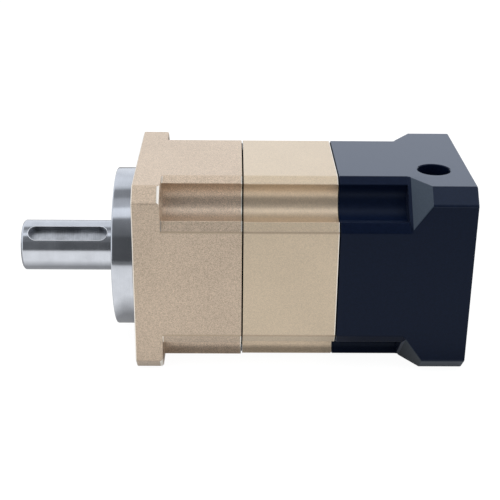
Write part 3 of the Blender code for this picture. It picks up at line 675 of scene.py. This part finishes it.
def make_ring_gear():
    """Machined gold sleeve with the toothed steel ring inside it."""
    bore_radius = 23.0
    land = RING_BACK + SEAM - 0.05
    sections = [(RING_FRONT, outline("body", inset=0.7))]
    sections += rounded_end("body", RING_FRONT, 1, 0.1, 2)
    sections += reversed(rounded_end("body", RING_BACK, -1, BACK_EDGE, 3))
    sections += [(RING_BACK, outline("body", inset=0.7)), (land, outline("body", inset=0.75))]
    sections += bore([(land, SPIGOT_RADIUS), (SPIGOT_BACK, SPIGOT_RADIUS), (SPIGOT_BACK, bore_radius),
                      (SPIGOT_FRONT, bore_radius), (SPIGOT_FRONT, SPIGOT_RADIUS),
                      (RING_FRONT, SPIGOT_RADIUS)])
    sleeve = tube("ring_gear_sleeve", sections, MACHINED_GOLD)
    carve(sleeve, axial_cutters(SCREW_PLACES, RING_FRONT - 1.0, RING_BACK + 1.0, 2.2, 32))
    # The near-white back band and groove lips are painted highlights.
    finish_and_paint_light_on_faces(sleeve, (PAINTED_HIGHLIGHT_EDGE, lambda x, section, normal: x > RING_BACK - BACK_EDGE),
                 (PAINTED_HIGHLIGHT_EDGE, is_lip), (SHADED_EDGE, is_front_shoulder), (MACHINED_GROOVE, is_groove),
                 (SEAM_BLACK, lambda x, section, normal: x > RING_BACK - 0.01 or x < RING_FRONT + 0.02))
    weight_normals(sleeve)
    place(sleeve, "housing", "machined_gold", "ring_gear")
    space = gear_loop(RING_TEETH, DEDENDUM, ADDENDUM, -BACKLASH, FIRST_PLANET_ANGLE)
    outer = circle_like(space, bore_radius)
    flared = held(space, nearest=MODULE * RING_TEETH / 2 - ADDENDUM + 0.25)
    front, back, chamfer = SPIGOT_FRONT + 0.2, SPIGOT_BACK - 0.2, 0.3
    sections = [(front, outer), (back, outer), (back, flared), (back - chamfer, space),
                (front + chamfer, space), (front, flared)]
    place(tube("ring_gear_teeth", sections, GEAR_STEEL), "housing", "gear_steel", "ring_gear")


def make_input_adapter():
    """Black housing for the motor: grooved in front, a ramp up to the square flange behind."""
    sections = [(ADAPTER_FRONT, outline("body", inset=0.7))]
    sections += rounded_end("body", ADAPTER_FRONT, 1, 0.3, 3)
    sections += [(GROOVE_END - 0.05, outline("body")), (GROOVE_END, outline("plain")),
                 (RAMP_START, outline("ramp")), (REAR_FLANGE_START, outline("rear"))]
    sections += reversed(rounded_end("rear", ADAPTER_BACK, -1, 0.4))
    sections += bore([(ADAPTER_BACK, 25.05), (97.8, 25.05), (97.8, CAVITY_RADIUS),
                      (83.6, CAVITY_RADIUS), (83.6, 19.05), (76.6, 19.05), (76.6, 17.5), (75.0, 17.5),
                      (75.0, 21.05), (63.9, 21.05), (63.9, 24.65), (ADAPTER_FRONT, 24.65)])
    adapter = tube("input_adapter_shell", sections, BLACK_ANODISED)
    cutters = axial_cutters(BOLT_PLACES, ADAPTER_BACK - 12.0, ADAPTER_BACK, 2.1, countersink=0.5)
    cutters += axial_cutters(SCREW_PLACES, ADAPTER_FRONT - 1.0, SCREW_SEAT + 0.5, 2.2, 32)
    cutters += axial_cutters(SCREW_PLACES, SCREW_SEAT, ADAPTER_BACK, 3.8, countersink=0.25)
    cutters.append(round_cutter(on_clamp_line(10.0), on_clamp_line(HALF), 5.0, 64, countersink=0.25))
    carve(adapter, cutters)
    finish_and_paint_light_on_faces(adapter, (CORNER_BLACK, is_rear_corner), (MILLED_BLACK, is_ramp))
    weight_normals(adapter)
    place(adapter, "housing", "black_anodised", "input_adapter")


# ---- output end

def make_pilot():
    pilot = rounded([(PILOT_FACE, PILOT_RADIUS), (-0.1, PILOT_RADIUS), (-0.1, 19.9), (2.4, 19.9),
                     (2.4, 12.0), (0.0, 12.0), (0.0, 15.1), (PILOT_FACE, 15.1)], 0.5, 4)
    ring = lathe("pilot_ring_turned", pilot, TURNED_STEEL, segments=160)
    place(ring, "housing", "turned_steel", "pilot_ring")


def make_seal(end, front, back, shaft, outer):
    """A lip seal: a moulded body with a groove round its face and a thin lip on the shaft."""
    profile = [(front, outer), (back, outer), (back, outer - 1.6), (front + 2.2, outer - 1.8),
               (front + 2.2, shaft + 2.6), (back - 1.0, shaft + 2.2), (back - 1.0, shaft + 1.2),
               (front + 1.6, shaft), (front + 0.2, shaft + 0.7), (front + 0.2, shaft + 1.8),
               (front + 0.9, shaft + 2.4), (front + 0.9, outer - 2.2), (front, outer - 1.6)]
    place(lathe(f"{end}_seal_body", rounded(profile, 0.3), BLACK_RUBBER, segments=128), "housing",
          "black_rubber", f"{end}_oil_seal")


def make_output_shaft():
    """Keyed shaft, its bearing seats and the carrier disc of the output stage."""
    chamfer, centre_hole, seat, disc = 0.6, 2.1, 8.45, 20.0
    profile = [(SHAFT_END + 12.0, 0.0), (SHAFT_END + 10.8, centre_hole), (SHAFT_END + 1.0, centre_hole),
               (SHAFT_END, 3.2), (SHAFT_END, SHAFT_RADIUS - chamfer), (SHAFT_END + chamfer, SHAFT_RADIUS),
               (0.0, SHAFT_RADIUS), (0.2, seat), (1.1, seat), (1.1, SHAFT_RADIUS), (2.5, SHAFT_RADIUS),
               (2.5, seat), (15.5, seat), (15.5, 9.95), (27.9, 9.95), (27.9, 12.4), (30.4, 12.4),
               (30.4, disc), (CARRIER_BACK, disc), (CARRIER_BACK, 0.0)]
    shaft = lathe("output_shaft_turned", rounded(profile, 0.22, closed=False), GROUND_STEEL, segments=144)
    slot = prism_cutter(slot_outline(), SHAFT_RADIUS - KEY_DEPTH, SHAFT_RADIUS + 2.0, slot_matrix())
    carve(shaft, [slot] + axial_cutters(planet_places(OUTPUT_DISTANCE), 29.0, 37.0, 2.6, 40))
    finish_and_paint_light_on_faces(shaft, (SLOT_STEEL, is_slot_wall), (MILLED_STEEL, is_slot_floor))
    edge = shaft.modifiers.new("Edges", "BEVEL")
    edge.width = 0.28 * MM
    edge.segments = 2
    edge.limit_method = "ANGLE"
    edge.angle_limit = math.radians(48.0)
    place(shaft, "output_shaft", "turned_steel", "output_shaft")
    make_slot_rim()


def slot_outline(grown_by=0.0, steps=16):
    """The key slot's outline in mm, seen from outside: along the shaft, then across it."""
    reach = (KEY_LENGTH - KEY_WIDTH) / 2
    return [polar(KEY_WIDTH / 2 + grown_by, math.radians(start + 180.0 * i / steps), (centre, 0.0))
            for centre, start in ((reach, -90.0), (-reach, 90.0)) for i in range(steps + 1)]


def slot_matrix():
    """Moves the origin to the shaft's axis under the slot's middle, and turns Z out of the slot."""
    turn = Matrix.Rotation(KEY_ANGLE - math.pi / 2, 4, "X")
    return Matrix.Translation(point(KEY_MIDDLE, 0.0, 0.0)) @ turn


def make_slot_rim():
    """The key slot's rim: a fine bead that follows the shaft's curve, in near-white steel as a painted
    highlight.
    """
    bead, sides, steps, straight = 0.13, 8, 16, 10
    path = slot_outline(0.04, steps)
    path[steps + 1:steps + 1] = along(path[steps], path[steps + 1], straight)[1:-1]
    path += along(path[-1], path[0], straight)[1:-1]
    placed = slot_matrix()
    loops = []
    for i, middle in enumerate(path):
        ahead = Vector(path[(i + 1) % len(path)]) - Vector(path[i - 1])
        outward = Vector((ahead.y, -ahead.x)).normalized()
        loop = []
        for out, lift in circle(bead, sides):
            x, y = Vector(middle) + outward * out
            height = math.sqrt(SHAFT_RADIUS ** 2 - y ** 2) - 0.06 + lift
            loop.append(placed @ (Vector((x, y, height)) * MM))
        loops.append(loop)
    rim = mesh_piece("key_slot_rim", sum(loops, []), skin(loops), PAINTED_HIGHLIGHT_STEEL)
    place(rim, "output_shaft", "turned_steel")


# ---- gears

def planet_places(distance):
    return [polar(distance, FIRST_PLANET_ANGLE + 2 * math.pi * i / 3) for i in range(3)]


def involute(angle):
    return math.tan(angle) - angle


def tooth_half_angle(teeth, radius, backlash):
    """Half the angle that a tooth takes up at a radius."""
    pitch_radius = MODULE * teeth / 2
    flank_angle = math.acos(min(1.0, pitch_radius * math.cos(PRESSURE_ANGLE) / radius))
    return (math.pi / (2 * teeth) - backlash / (2 * pitch_radius) + involute(PRESSURE_ANGLE)
            - involute(flank_angle))


def gear_loop(teeth, outward, inward, backlash=BACKLASH, phase=0.0, steps=6):
    """An involute gear's outline. One tooth points along phase."""
    low, high = MODULE * teeth / 2 - inward, MODULE * teeth / 2 + outward
    radii = [low + (high - low) * i / (steps - 1) for i in range(steps)]
    flank = [(r, tooth_half_angle(teeth, r, backlash)) for r in radii]
    loop = []
    for tooth in range(teeth):
        middle = phase + 2 * math.pi * tooth / teeth
        loop += [polar(r, middle - half) for r, half in flank]
        loop += [polar(r, middle + half) for r, half in reversed(flank)]
    return loop


def held(loop, nearest=0.0, farthest=math.inf):
    """The loop with each point moved in or out to lie between two distances from the axis."""
    made = []
    for y, z in loop:
        radius = math.hypot(y, z)
        scale = max(nearest / radius, min(1.0, farthest / radius))
        made.append((y * scale, z * scale))
    return made


def gear(name, teeth, front, back, bore_radius, centre=(0.0, 0.0), phase=0.0):
    """An external gear with chamfered tips and a bored middle."""
    chamfer = 0.22
    loop = gear_loop(teeth, ADDENDUM, DEDENDUM, phase=phase)
    trimmed = held(loop, farthest=MODULE * teeth / 2 + ADDENDUM - chamfer)
    inner, flared = circle_like(loop, bore_radius), circle_like(loop, bore_radius + chamfer)
    sections = [(front, trimmed), (front + chamfer, loop), (back - chamfer, loop), (back, trimmed),
                (back, flared), (back - chamfer, inner), (front + chamfer, inner), (front, flared)]
    return tube(name, [(x, [(y + centre[0], z + centre[1]) for y, z in points])
                       for x, points in sections], GEAR_STEEL)


def join(name, pieces):
    """Several pieces as one object, in the first one's material."""
    vertices = []
    faces = []
    material = pieces[0].data.materials[0]
    for piece in pieces:
        start = len(vertices)
        vertices += [tuple(v.co) for v in piece.data.vertices]
        faces += [tuple(start + v for v in face.vertices) for face in piece.data.polygons]
        bpy.data.objects.remove(piece)
    return mesh_piece(name, vertices, faces, material)


def make_planets(stage, teeth, distance, front, back, pin_radius, pin_front, carrier):
    """A stage's three planet gears, with their bushes and the headed pins that they turn on."""
    bush_radius = pin_radius + 1.0
    head_radius, head_front, head_back = pin_radius + 0.9, back + 0.2, back + 0.9
    profile = [(pin_front, 0.0), (pin_front, pin_radius), (head_front, pin_radius),
               (head_front, head_radius), (head_back, head_radius), (head_back, 0.0)]
    for number, centre in enumerate(planet_places(distance), 1):
        body = f"{stage}_planet_{number}"
        wheel = gear(f"{stage}_planet_wheel_{number}", teeth, front, back, bush_radius + 0.05, centre,
                     math.atan2(centre[1], centre[0]))
        place(wheel, body, "gear_steel", f"{stage}_planet_gear_{number}")
        sleeve = turned_ring(f"{stage}_planet_sleeve_{number}", front, back, pin_radius + 0.08, bush_radius,
                             BRONZE, 0.2, centre=centre, segments=48)
        place(sleeve, body, "bronze", f"{stage}_planet_bush_{number}")
        pin = lathe(f"{stage}_pin_turned_{number}", rounded(profile, 0.2, closed=False),
                    BEARING_STEEL, centre, 48)
        place(pin, carrier, "bearing_steel", f"{stage}_planet_pin_{number}")


def make_sun(stage, body, teeth, front, back, shank_back, phase):
    """A sun gear with a plain shank behind it."""
    bore_radius = 2.2
    name = f"{stage}_sun_wheel"
    wheel = gear(name + "_teeth", teeth, front, back, bore_radius, phase=phase)
    shank = turned_ring(name + "_shank", back - 0.5, shank_back, bore_radius,
                        min(4.9, MODULE * teeth / 2 - DEDENDUM), GEAR_STEEL, 0.3)
    place(join(name, [wheel, shank]), body, "gear_steel", f"{stage}_sun_gear")


def make_stages():
    make_planets("output", teeth=24, distance=OUTPUT_DISTANCE, front=35.4, back=45.2, pin_radius=2.5,
                 pin_front=30.5, carrier="output_shaft")
    make_planets("input", teeth=27, distance=INPUT_DISTANCE, front=50.7, back=59.7, pin_radius=2.0,
                 pin_front=46.7, carrier="input_carrier")
    make_sun("output", "input_carrier", teeth=24, front=36.4, back=46.2, shank_back=50.3,
             phase=FIRST_PLANET_ANGLE + math.pi / 24)
    make_sun("input", "input_hub", teeth=18, front=51.5, back=60.8, shank_back=69.8,
             phase=FIRST_PLANET_ANGLE)
    carrier = turned_ring("input_carrier_disc", 46.6, 50.4, 5.0, 20.0, GEAR_STEEL, 0.4, segments=144)
    carve(carrier, axial_cutters(planet_places(INPUT_DISTANCE), 45.0, 52.0, 2.1, 40))
    weight_normals(carrier)
    place(carrier, "input_carrier", "gear_steel", "input_carrier")
    for stage, front, back, outer, body in (("output", 35.25, 36.15, 6.2, "output_shaft"),
                                            ("input", 50.55, 51.3, 4.6, "input_carrier")):
        washer = turned_ring(f"{stage}_washer_turned", front, back, 2.0, outer, BRONZE, 0.15)
        place(washer, body, "bronze", f"{stage}_thrust_washer")


# ---- bearings, rings and circlips

def make_bearing(seat, bore_radius, outside, front, back, track, ball_radius, balls, inner_body, cage_body):
    """A deep groove ball bearing: rings with rounded raceways, balls and a ribbon cage."""
    middle, edge = (front + back) / 2, 0.4
    race, shoulder = ball_radius * 1.06, ball_radius * 0.66
    groove = math.sqrt(race ** 2 - shoulder ** 2)
    groove_front, groove_back = middle - groove - 0.02, middle + groove + 0.02
    reach = math.atan2(groove, shoulder)
    angles = [-reach + reach * i / 5 for i in range(11)]
    low, high = track - shoulder, track + shoulder
    inner = rounded([(front, bore_radius), (front, low), (groove_front, low)], edge, closed=False)
    inner += [(middle + race * math.sin(a), track - race * math.cos(a)) for a in angles]
    inner += rounded([(groove_back, low), (back, low), (back, bore_radius)], edge, closed=False)
    outer = rounded([(groove_front, high), (front, high), (front, outside), (back, outside), (back, high),
                     (groove_back, high)], edge, closed=False)
    outer += [(middle + race * math.sin(a), track + race * math.cos(a)) for a in reversed(angles)]
    for side, profile, body in (("inner", inner, inner_body), ("outer", outer, "housing")):
        place(lathe(f"{seat}_bearing_{side}_race", profile, BEARING_STEEL), body, "bearing_steel",
              f"{seat}_bearing_{side}_ring")
    half_width, half_wall = ball_radius * 0.62, 0.3
    ribbon = turned_ring(f"{seat}_bearing_ribbon", middle - half_width, middle + half_width,
                         track - half_wall, track + half_wall, CAGE_STEEL, 0.15)
    place(ribbon, cage_body, "cage_steel", f"{seat}_bearing_cage")
    place(ball_set(f"{seat}_bearing_balls", track, ball_radius, middle, balls), cage_body,
          "bearing_steel", f"{seat}_bearing_cage")


def ball_set(name, track, ball_radius, middle, balls):
    bm = bmesh.new()
    for number in range(balls):
        centre = point(middle, *polar(track, 2 * math.pi * (number + 0.25) / balls))
        bmesh.ops.create_uvsphere(bm, u_segments=28, v_segments=16, radius=ball_radius * MM,
                                  matrix=Matrix.Translation(centre))
    mesh = bpy.data.meshes.new(name)
    bm.to_mesh(mesh)
    bm.free()
    mesh.materials.append(BEARING_STEEL)
    mesh.shade_smooth()
    return add_object(name, mesh)


def make_bearings():
    # Seat, bore and outside radius, front, back, the balls' track, radius and number, and bodies
    make_bearing("front", 8.5, 17.5, 2.6, 12.6, 13.0, 2.3, 8, "output_shaft", "front_cage")
    make_bearing("rear", 10.0, 21.0, 15.8, 27.8, 15.5, 3.0, 8, "output_shaft", "rear_cage")
    make_bearing("input", 12.5, 21.0, 65.8, 74.8, 16.75, 2.35, 10, "input_hub", "input_cage")


def make_circlip(seat, inner, outer, front, gap_angle, body):
    """A spring ring with a rounded edge and a gap in it."""
    thickness = 1.2
    ring = turned_ring(f"{seat}_spring_ring", front, front + thickness, inner, outer, SPRING_STEEL, 0.12, 2,
                       segments=120)
    half_gap = outer * math.tan(math.radians(gap_angle / 2))
    wedge = [(0.0, 0.0), (half_gap, outer * 1.2), (-half_gap, outer * 1.2)]
    carve(ring, [section_cutter(wedge, front - 1.0, front + thickness + 1.8)])
    place(ring, body, "spring_steel", f"{seat}_circlip")


def make_small_rings():
    make_circlip("rear_bearing", 18.8, 22.0, 28.0, 24.0, "housing")
    make_circlip("input_bearing", 18.8, 22.0, 64.4, 24.0, "housing")
    make_circlip("output_shaft", 8.1, 10.4, 1.2, 40.0, "output_shaft")
    make_circlip("input_hub", 12.1, 14.6, 64.4, 30.0, "input_hub")
    cord_radius = 0.55
    for seat, x in (("front", 31.5), ("rear", 62.5)):
        middle_radius = SPIGOT_RADIUS - cord_radius + 0.1
        profile = [(x - along_axis, middle_radius + out) for along_axis, out in circle(cord_radius, 16)]
        place(lathe(f"{seat}_o_ring_cord", profile, BLACK_RUBBER, segments=144), "housing", "black_rubber",
              f"{seat}_o_ring")
    place(turned_ring("bearing_spacer_turned", 12.7, 15.4, 8.55, 11.4, PLAIN_ALUMINIUM), "output_shaft",
          "plain_aluminium", "bearing_spacer")


# ---- input end

def rectangle(left, right, low, high):
    return [(left, low), (right, low), (right, high), (left, high)]


def make_input_hub():
    """Hub with the sun gear's seat in front and the slotted clamping sleeve behind."""
    profile = [(70.0, 0.0), (70.0, 5.0), (62.2, 5.0), (62.2, 12.45), (64.3, 12.45), (64.3, 11.9),
               (65.7, 11.9), (65.7, 12.45), (74.9, 12.45), (74.9, 14.0), (84.0, 14.0), (84.0, 8.2),
               (95.6, 8.2), (95.6, 7.0), (71.0, 7.0), (71.0, 0.0)]
    hub = lathe("input_hub_turned", rounded(profile, 0.3, closed=False), TURNED_STEEL, segments=112)
    half_slot, reach = 0.5, 11.0
    slots = (rectangle(-half_slot, half_slot, -reach, reach), rectangle(-reach, reach, -half_slot, half_slot))
    carve(hub, [section_cutter(slot, 85.0, 98.0) for slot in slots])
    place(hub, "input_hub", "turned_steel", "input_hub")


def make_clamp():
    """Split clamp collar with its socket head screw under the access hole."""
    collar = turned_ring("clamp_collar_turned", 86.1, 95.1, 8.35, 18.0, PLAIN_ALUMINIUM, 0.6, 4,
                         segments=144)
    carve(collar, [section_cutter(rectangle(-20.0, -7.0, -0.75, 0.75), 84.0, 97.0),
                   round_cutter(on_clamp_line(-10.2), on_clamp_line(7.5), 2.05, 32),
                   round_cutter(on_clamp_line(7.0), on_clamp_line(17.5), 3.8)])
    weight_normals(collar)
    place(collar, "input_hub", "plain_aluminium", "clamp_collar")
    screw = socket_screw("clamp_screw_turned", on_clamp_line(-10.0), on_clamp_line(7.1))
    place(screw, "input_hub", "black_screw", "clamp_screw")


def socket_screw(name, tip, seat):
    """A socket head screw from its tip to the seat of its head, both in mm."""
    shank_radius, head_radius, head_height, chamfer = 1.9, 3.5, 4.0, 0.4
    across_flats, socket_depth = 3.0, 2.2
    start = Vector(point(*tip))
    forward = Vector(point(*seat)) - start
    length = forward.length / MM
    top = length + head_height
    profile = [(0.0, 0.0), (0.0, shank_radius - chamfer), (0.5, shank_radius), (length, shank_radius),
               (length, head_radius), (top - chamfer, head_radius), (top, head_radius - chamfer), (top, 0.0)]
    screw = lathe(name, rounded(profile, 0.12, 2, closed=False), BLACK_SCREW, segments=48)
    from_axis = Matrix.Translation(point(0.0, 0.0, 0.0)).inverted()
    screw.data.transform(placed_along(start, forward, "X", "Z") @ from_axis)
    socket = circle(across_flats / math.sqrt(3), 6)
    carve(screw, [prism_cutter(socket, top - socket_depth, top + 1.0, placed_along(start, forward))])
    return screw


def make_housing_screws():
    for number, (y, z) in enumerate(SCREW_PLACES, 1):
        screw = socket_screw(f"housing_screw_turned_{number}", (24.2, y, z), (SCREW_SEAT + 0.1, y, z))
        place(screw, "housing", "black_screw", f"housing_screw_{number}")


# ---- stage, light and camera

def make_floor():
    """A plain pale floor, wide enough for every view, that glows evenly white to the camera. What the gearbox
    mirrors of it, and the light it sends the gearbox, carry a painted shadow beneath the gearbox.
    """
    material, tree, shader = new_material("floor")
    vector = object_coordinates(tree)
    across = add_node(tree, "ShaderNodeSeparateXYZ", {"Vector": vector}).outputs
    ray = add_node(tree, "ShaderNodeLightPath").outputs
    # Each factor of the glow and of its painted shadow goes from one value to another across a soft border,
    # whose two sides are in metres
    shaft_shift = remap(across["X"], 0.016, 0.0, -0.046, -0.038)
    # The painted shadow beneath the gearbox: the glow falls from 0.92 in front of it to 0.27 under it, with
    # its border moved back under the slim shaft.
    level = remap(arithmetic("SUBTRACT", across["Y"], shaft_shift), 0.92, 0.27, -0.042, -0.018)
    painted_adapter_shadow = arithmetic("MULTIPLY", remap(across["X"], 0.0, 0.58, 0.024, 0.036),
                               remap(across["Y"], 0.0, 1.0, -0.050, -0.036))
    # Darker far in front of the gearbox, painted shadow under the black adapter, and the whole glow dimmer in
    # the light that the floor sends onto the gearbox.
    for dimming in (remap(across["Y"], 0.80, 1.0, -0.26, -0.10), remap(across["Y"], 0.12, 1.0, -0.40, -0.27),
                    remap(painted_adapter_shadow, 1.0, 0.0, 0.0, 1.0),
                    remap(ray["Is Diffuse Ray"], 1.0, 0.56, 0.0, 1.0)):
        level = arithmetic("MULTIPLY", level, dimming)
    pale = tinted(remap(noise(vector, 3.0), 0.0, 1.0), (0.10, 0.10, 0.10), (0.12, 0.12, 0.12))
    feed(shader, {"Base Color": pale, "Roughness": 0.9, "Specular IOR Level": 0.1,
                  "Emission Color": (1.0, 1.0, 1.0, 1.0),
                  "Emission Strength": mixed(ray["Is Camera Ray"], level, 0.95, "FLOAT")})
    bpy.ops.mesh.primitive_plane_add(size=12.0, location=(0.0, 0.0, -0.0002))
    floor = bpy.context.object
    floor.name = "floor"
    floor.data.materials.append(material)


def make_world():
    """A studio of soft panels, painted by direction, and plain white where the camera sees it."""
    world = bpy.data.worlds.new("studio")
    bpy.context.scene.world = world
    world.use_nodes = True
    tree = world.node_tree
    tree.nodes.clear()
    source = add_node(tree, "ShaderNodeTexCoord")
    direction = add_node(tree, "ShaderNodeSeparateXYZ", {"Vector": source.outputs["Generated"]}).outputs
    height = arithmetic("ARCTAN2", direction["Z"], arithmetic("MULTIPLY", direction["Y"], -1.0))
    ramp = add_node(tree, "ShaderNodeValToRGB", {"Fac": arithmetic("DIVIDE", height, math.pi)})
    # Degrees from the front horizon over the top to the back one, and the brightness there
    panels = ((0, 0.10), (33, 0.11), (38, 0.18), (58, 0.25), (61, 0.30), (65, 1.05), (77, 1.15),
              (80, 0.64), (93, 0.54), (97, 0.33), (110, 0.33), (115, 0.75), (121, 0.98), (180, 1.00))
    elements = ramp.color_ramp.elements
    while len(elements) < len(panels):
        elements.new(0.5)
    for element, (degrees, level) in zip(elements, panels):
        element.position = degrees / 180.0
        element.color = (level * 0.97, level, level * 1.05, 1.0)
    sideways = remap(arithmetic("ABSOLUTE", direction["X"]), 0.0, 1.0, 0.30, 0.62)
    studio = mixed(sideways, ramp.outputs["Color"], (1.00, 1.03, 1.08, 1.0))
    ray = add_node(tree, "ShaderNodeLightPath").outputs
    background = add_node(tree, "ShaderNodeBackground",
                          {"Color": mixed(ray["Is Camera Ray"], studio, (1.0, 1.0, 1.0, 1.0))})
    add_node(tree, "ShaderNodeOutputWorld", {"Surface": background.outputs["Background"]})


def area_light(name, position, size, power):
    """A soft rectangular lamp, aimed at the gearbox, that its surfaces don't mirror."""
    light = bpy.data.lights.new(name, "AREA")
    light.shape = "RECTANGLE"
    light.size, light.size_y = size
    light.energy = power
    lamp = add_object(name, light)
    lamp.visible_glossy = False
    lamp.location = position
    aim = Vector((0.0, 0.0, 0.03)) - Vector(position)
    lamp.rotation_euler = aim.to_track_quat("-Z", "Y").to_euler()


def make_camera():
    """The product camera: in front of the key slot side, above, looking a little down."""
    yaw, pitch, roll = 0.0164, 0.4108, 0.0111
    camera_data = bpy.data.cameras.new("camera")
    camera_data.sensor_width = 36.0
    camera_data.lens = 80.42
    camera = add_object("camera", camera_data)
    camera.matrix_world = (Matrix.Translation(point(29.761, -330.887, 142.558))
                           @ Matrix.Rotation(-yaw, 4, "Z") @ Matrix.Rotation(math.pi / 2 - pitch, 4, "X")
                           @ Matrix.Rotation(roll, 4, "Z"))
    bpy.context.scene.camera = camera


make_output_housing()
make_ring_gear()
make_input_adapter()
make_pilot()
make_seal("output", -6.4, -0.2, SHAFT_RADIUS + 0.05, 15.0)
make_output_shaft()
make_stages()
make_bearings()
make_small_rings()
make_seal("input", 76.8, 83.2, 14.05, 19.0)
make_input_hub()
make_clamp()
make_housing_screws()
make_floor()
make_world()
area_light("front_softbox", (0.0, -0.51, 0.99), (1.0, 0.5), 3.8)
area_light("overhead_softbox", (0.0, 0.10, 1.12), (1.0, 0.4), 5.2)
make_camera()
bpy.context.scene.view_settings.view_transform = "Standard"
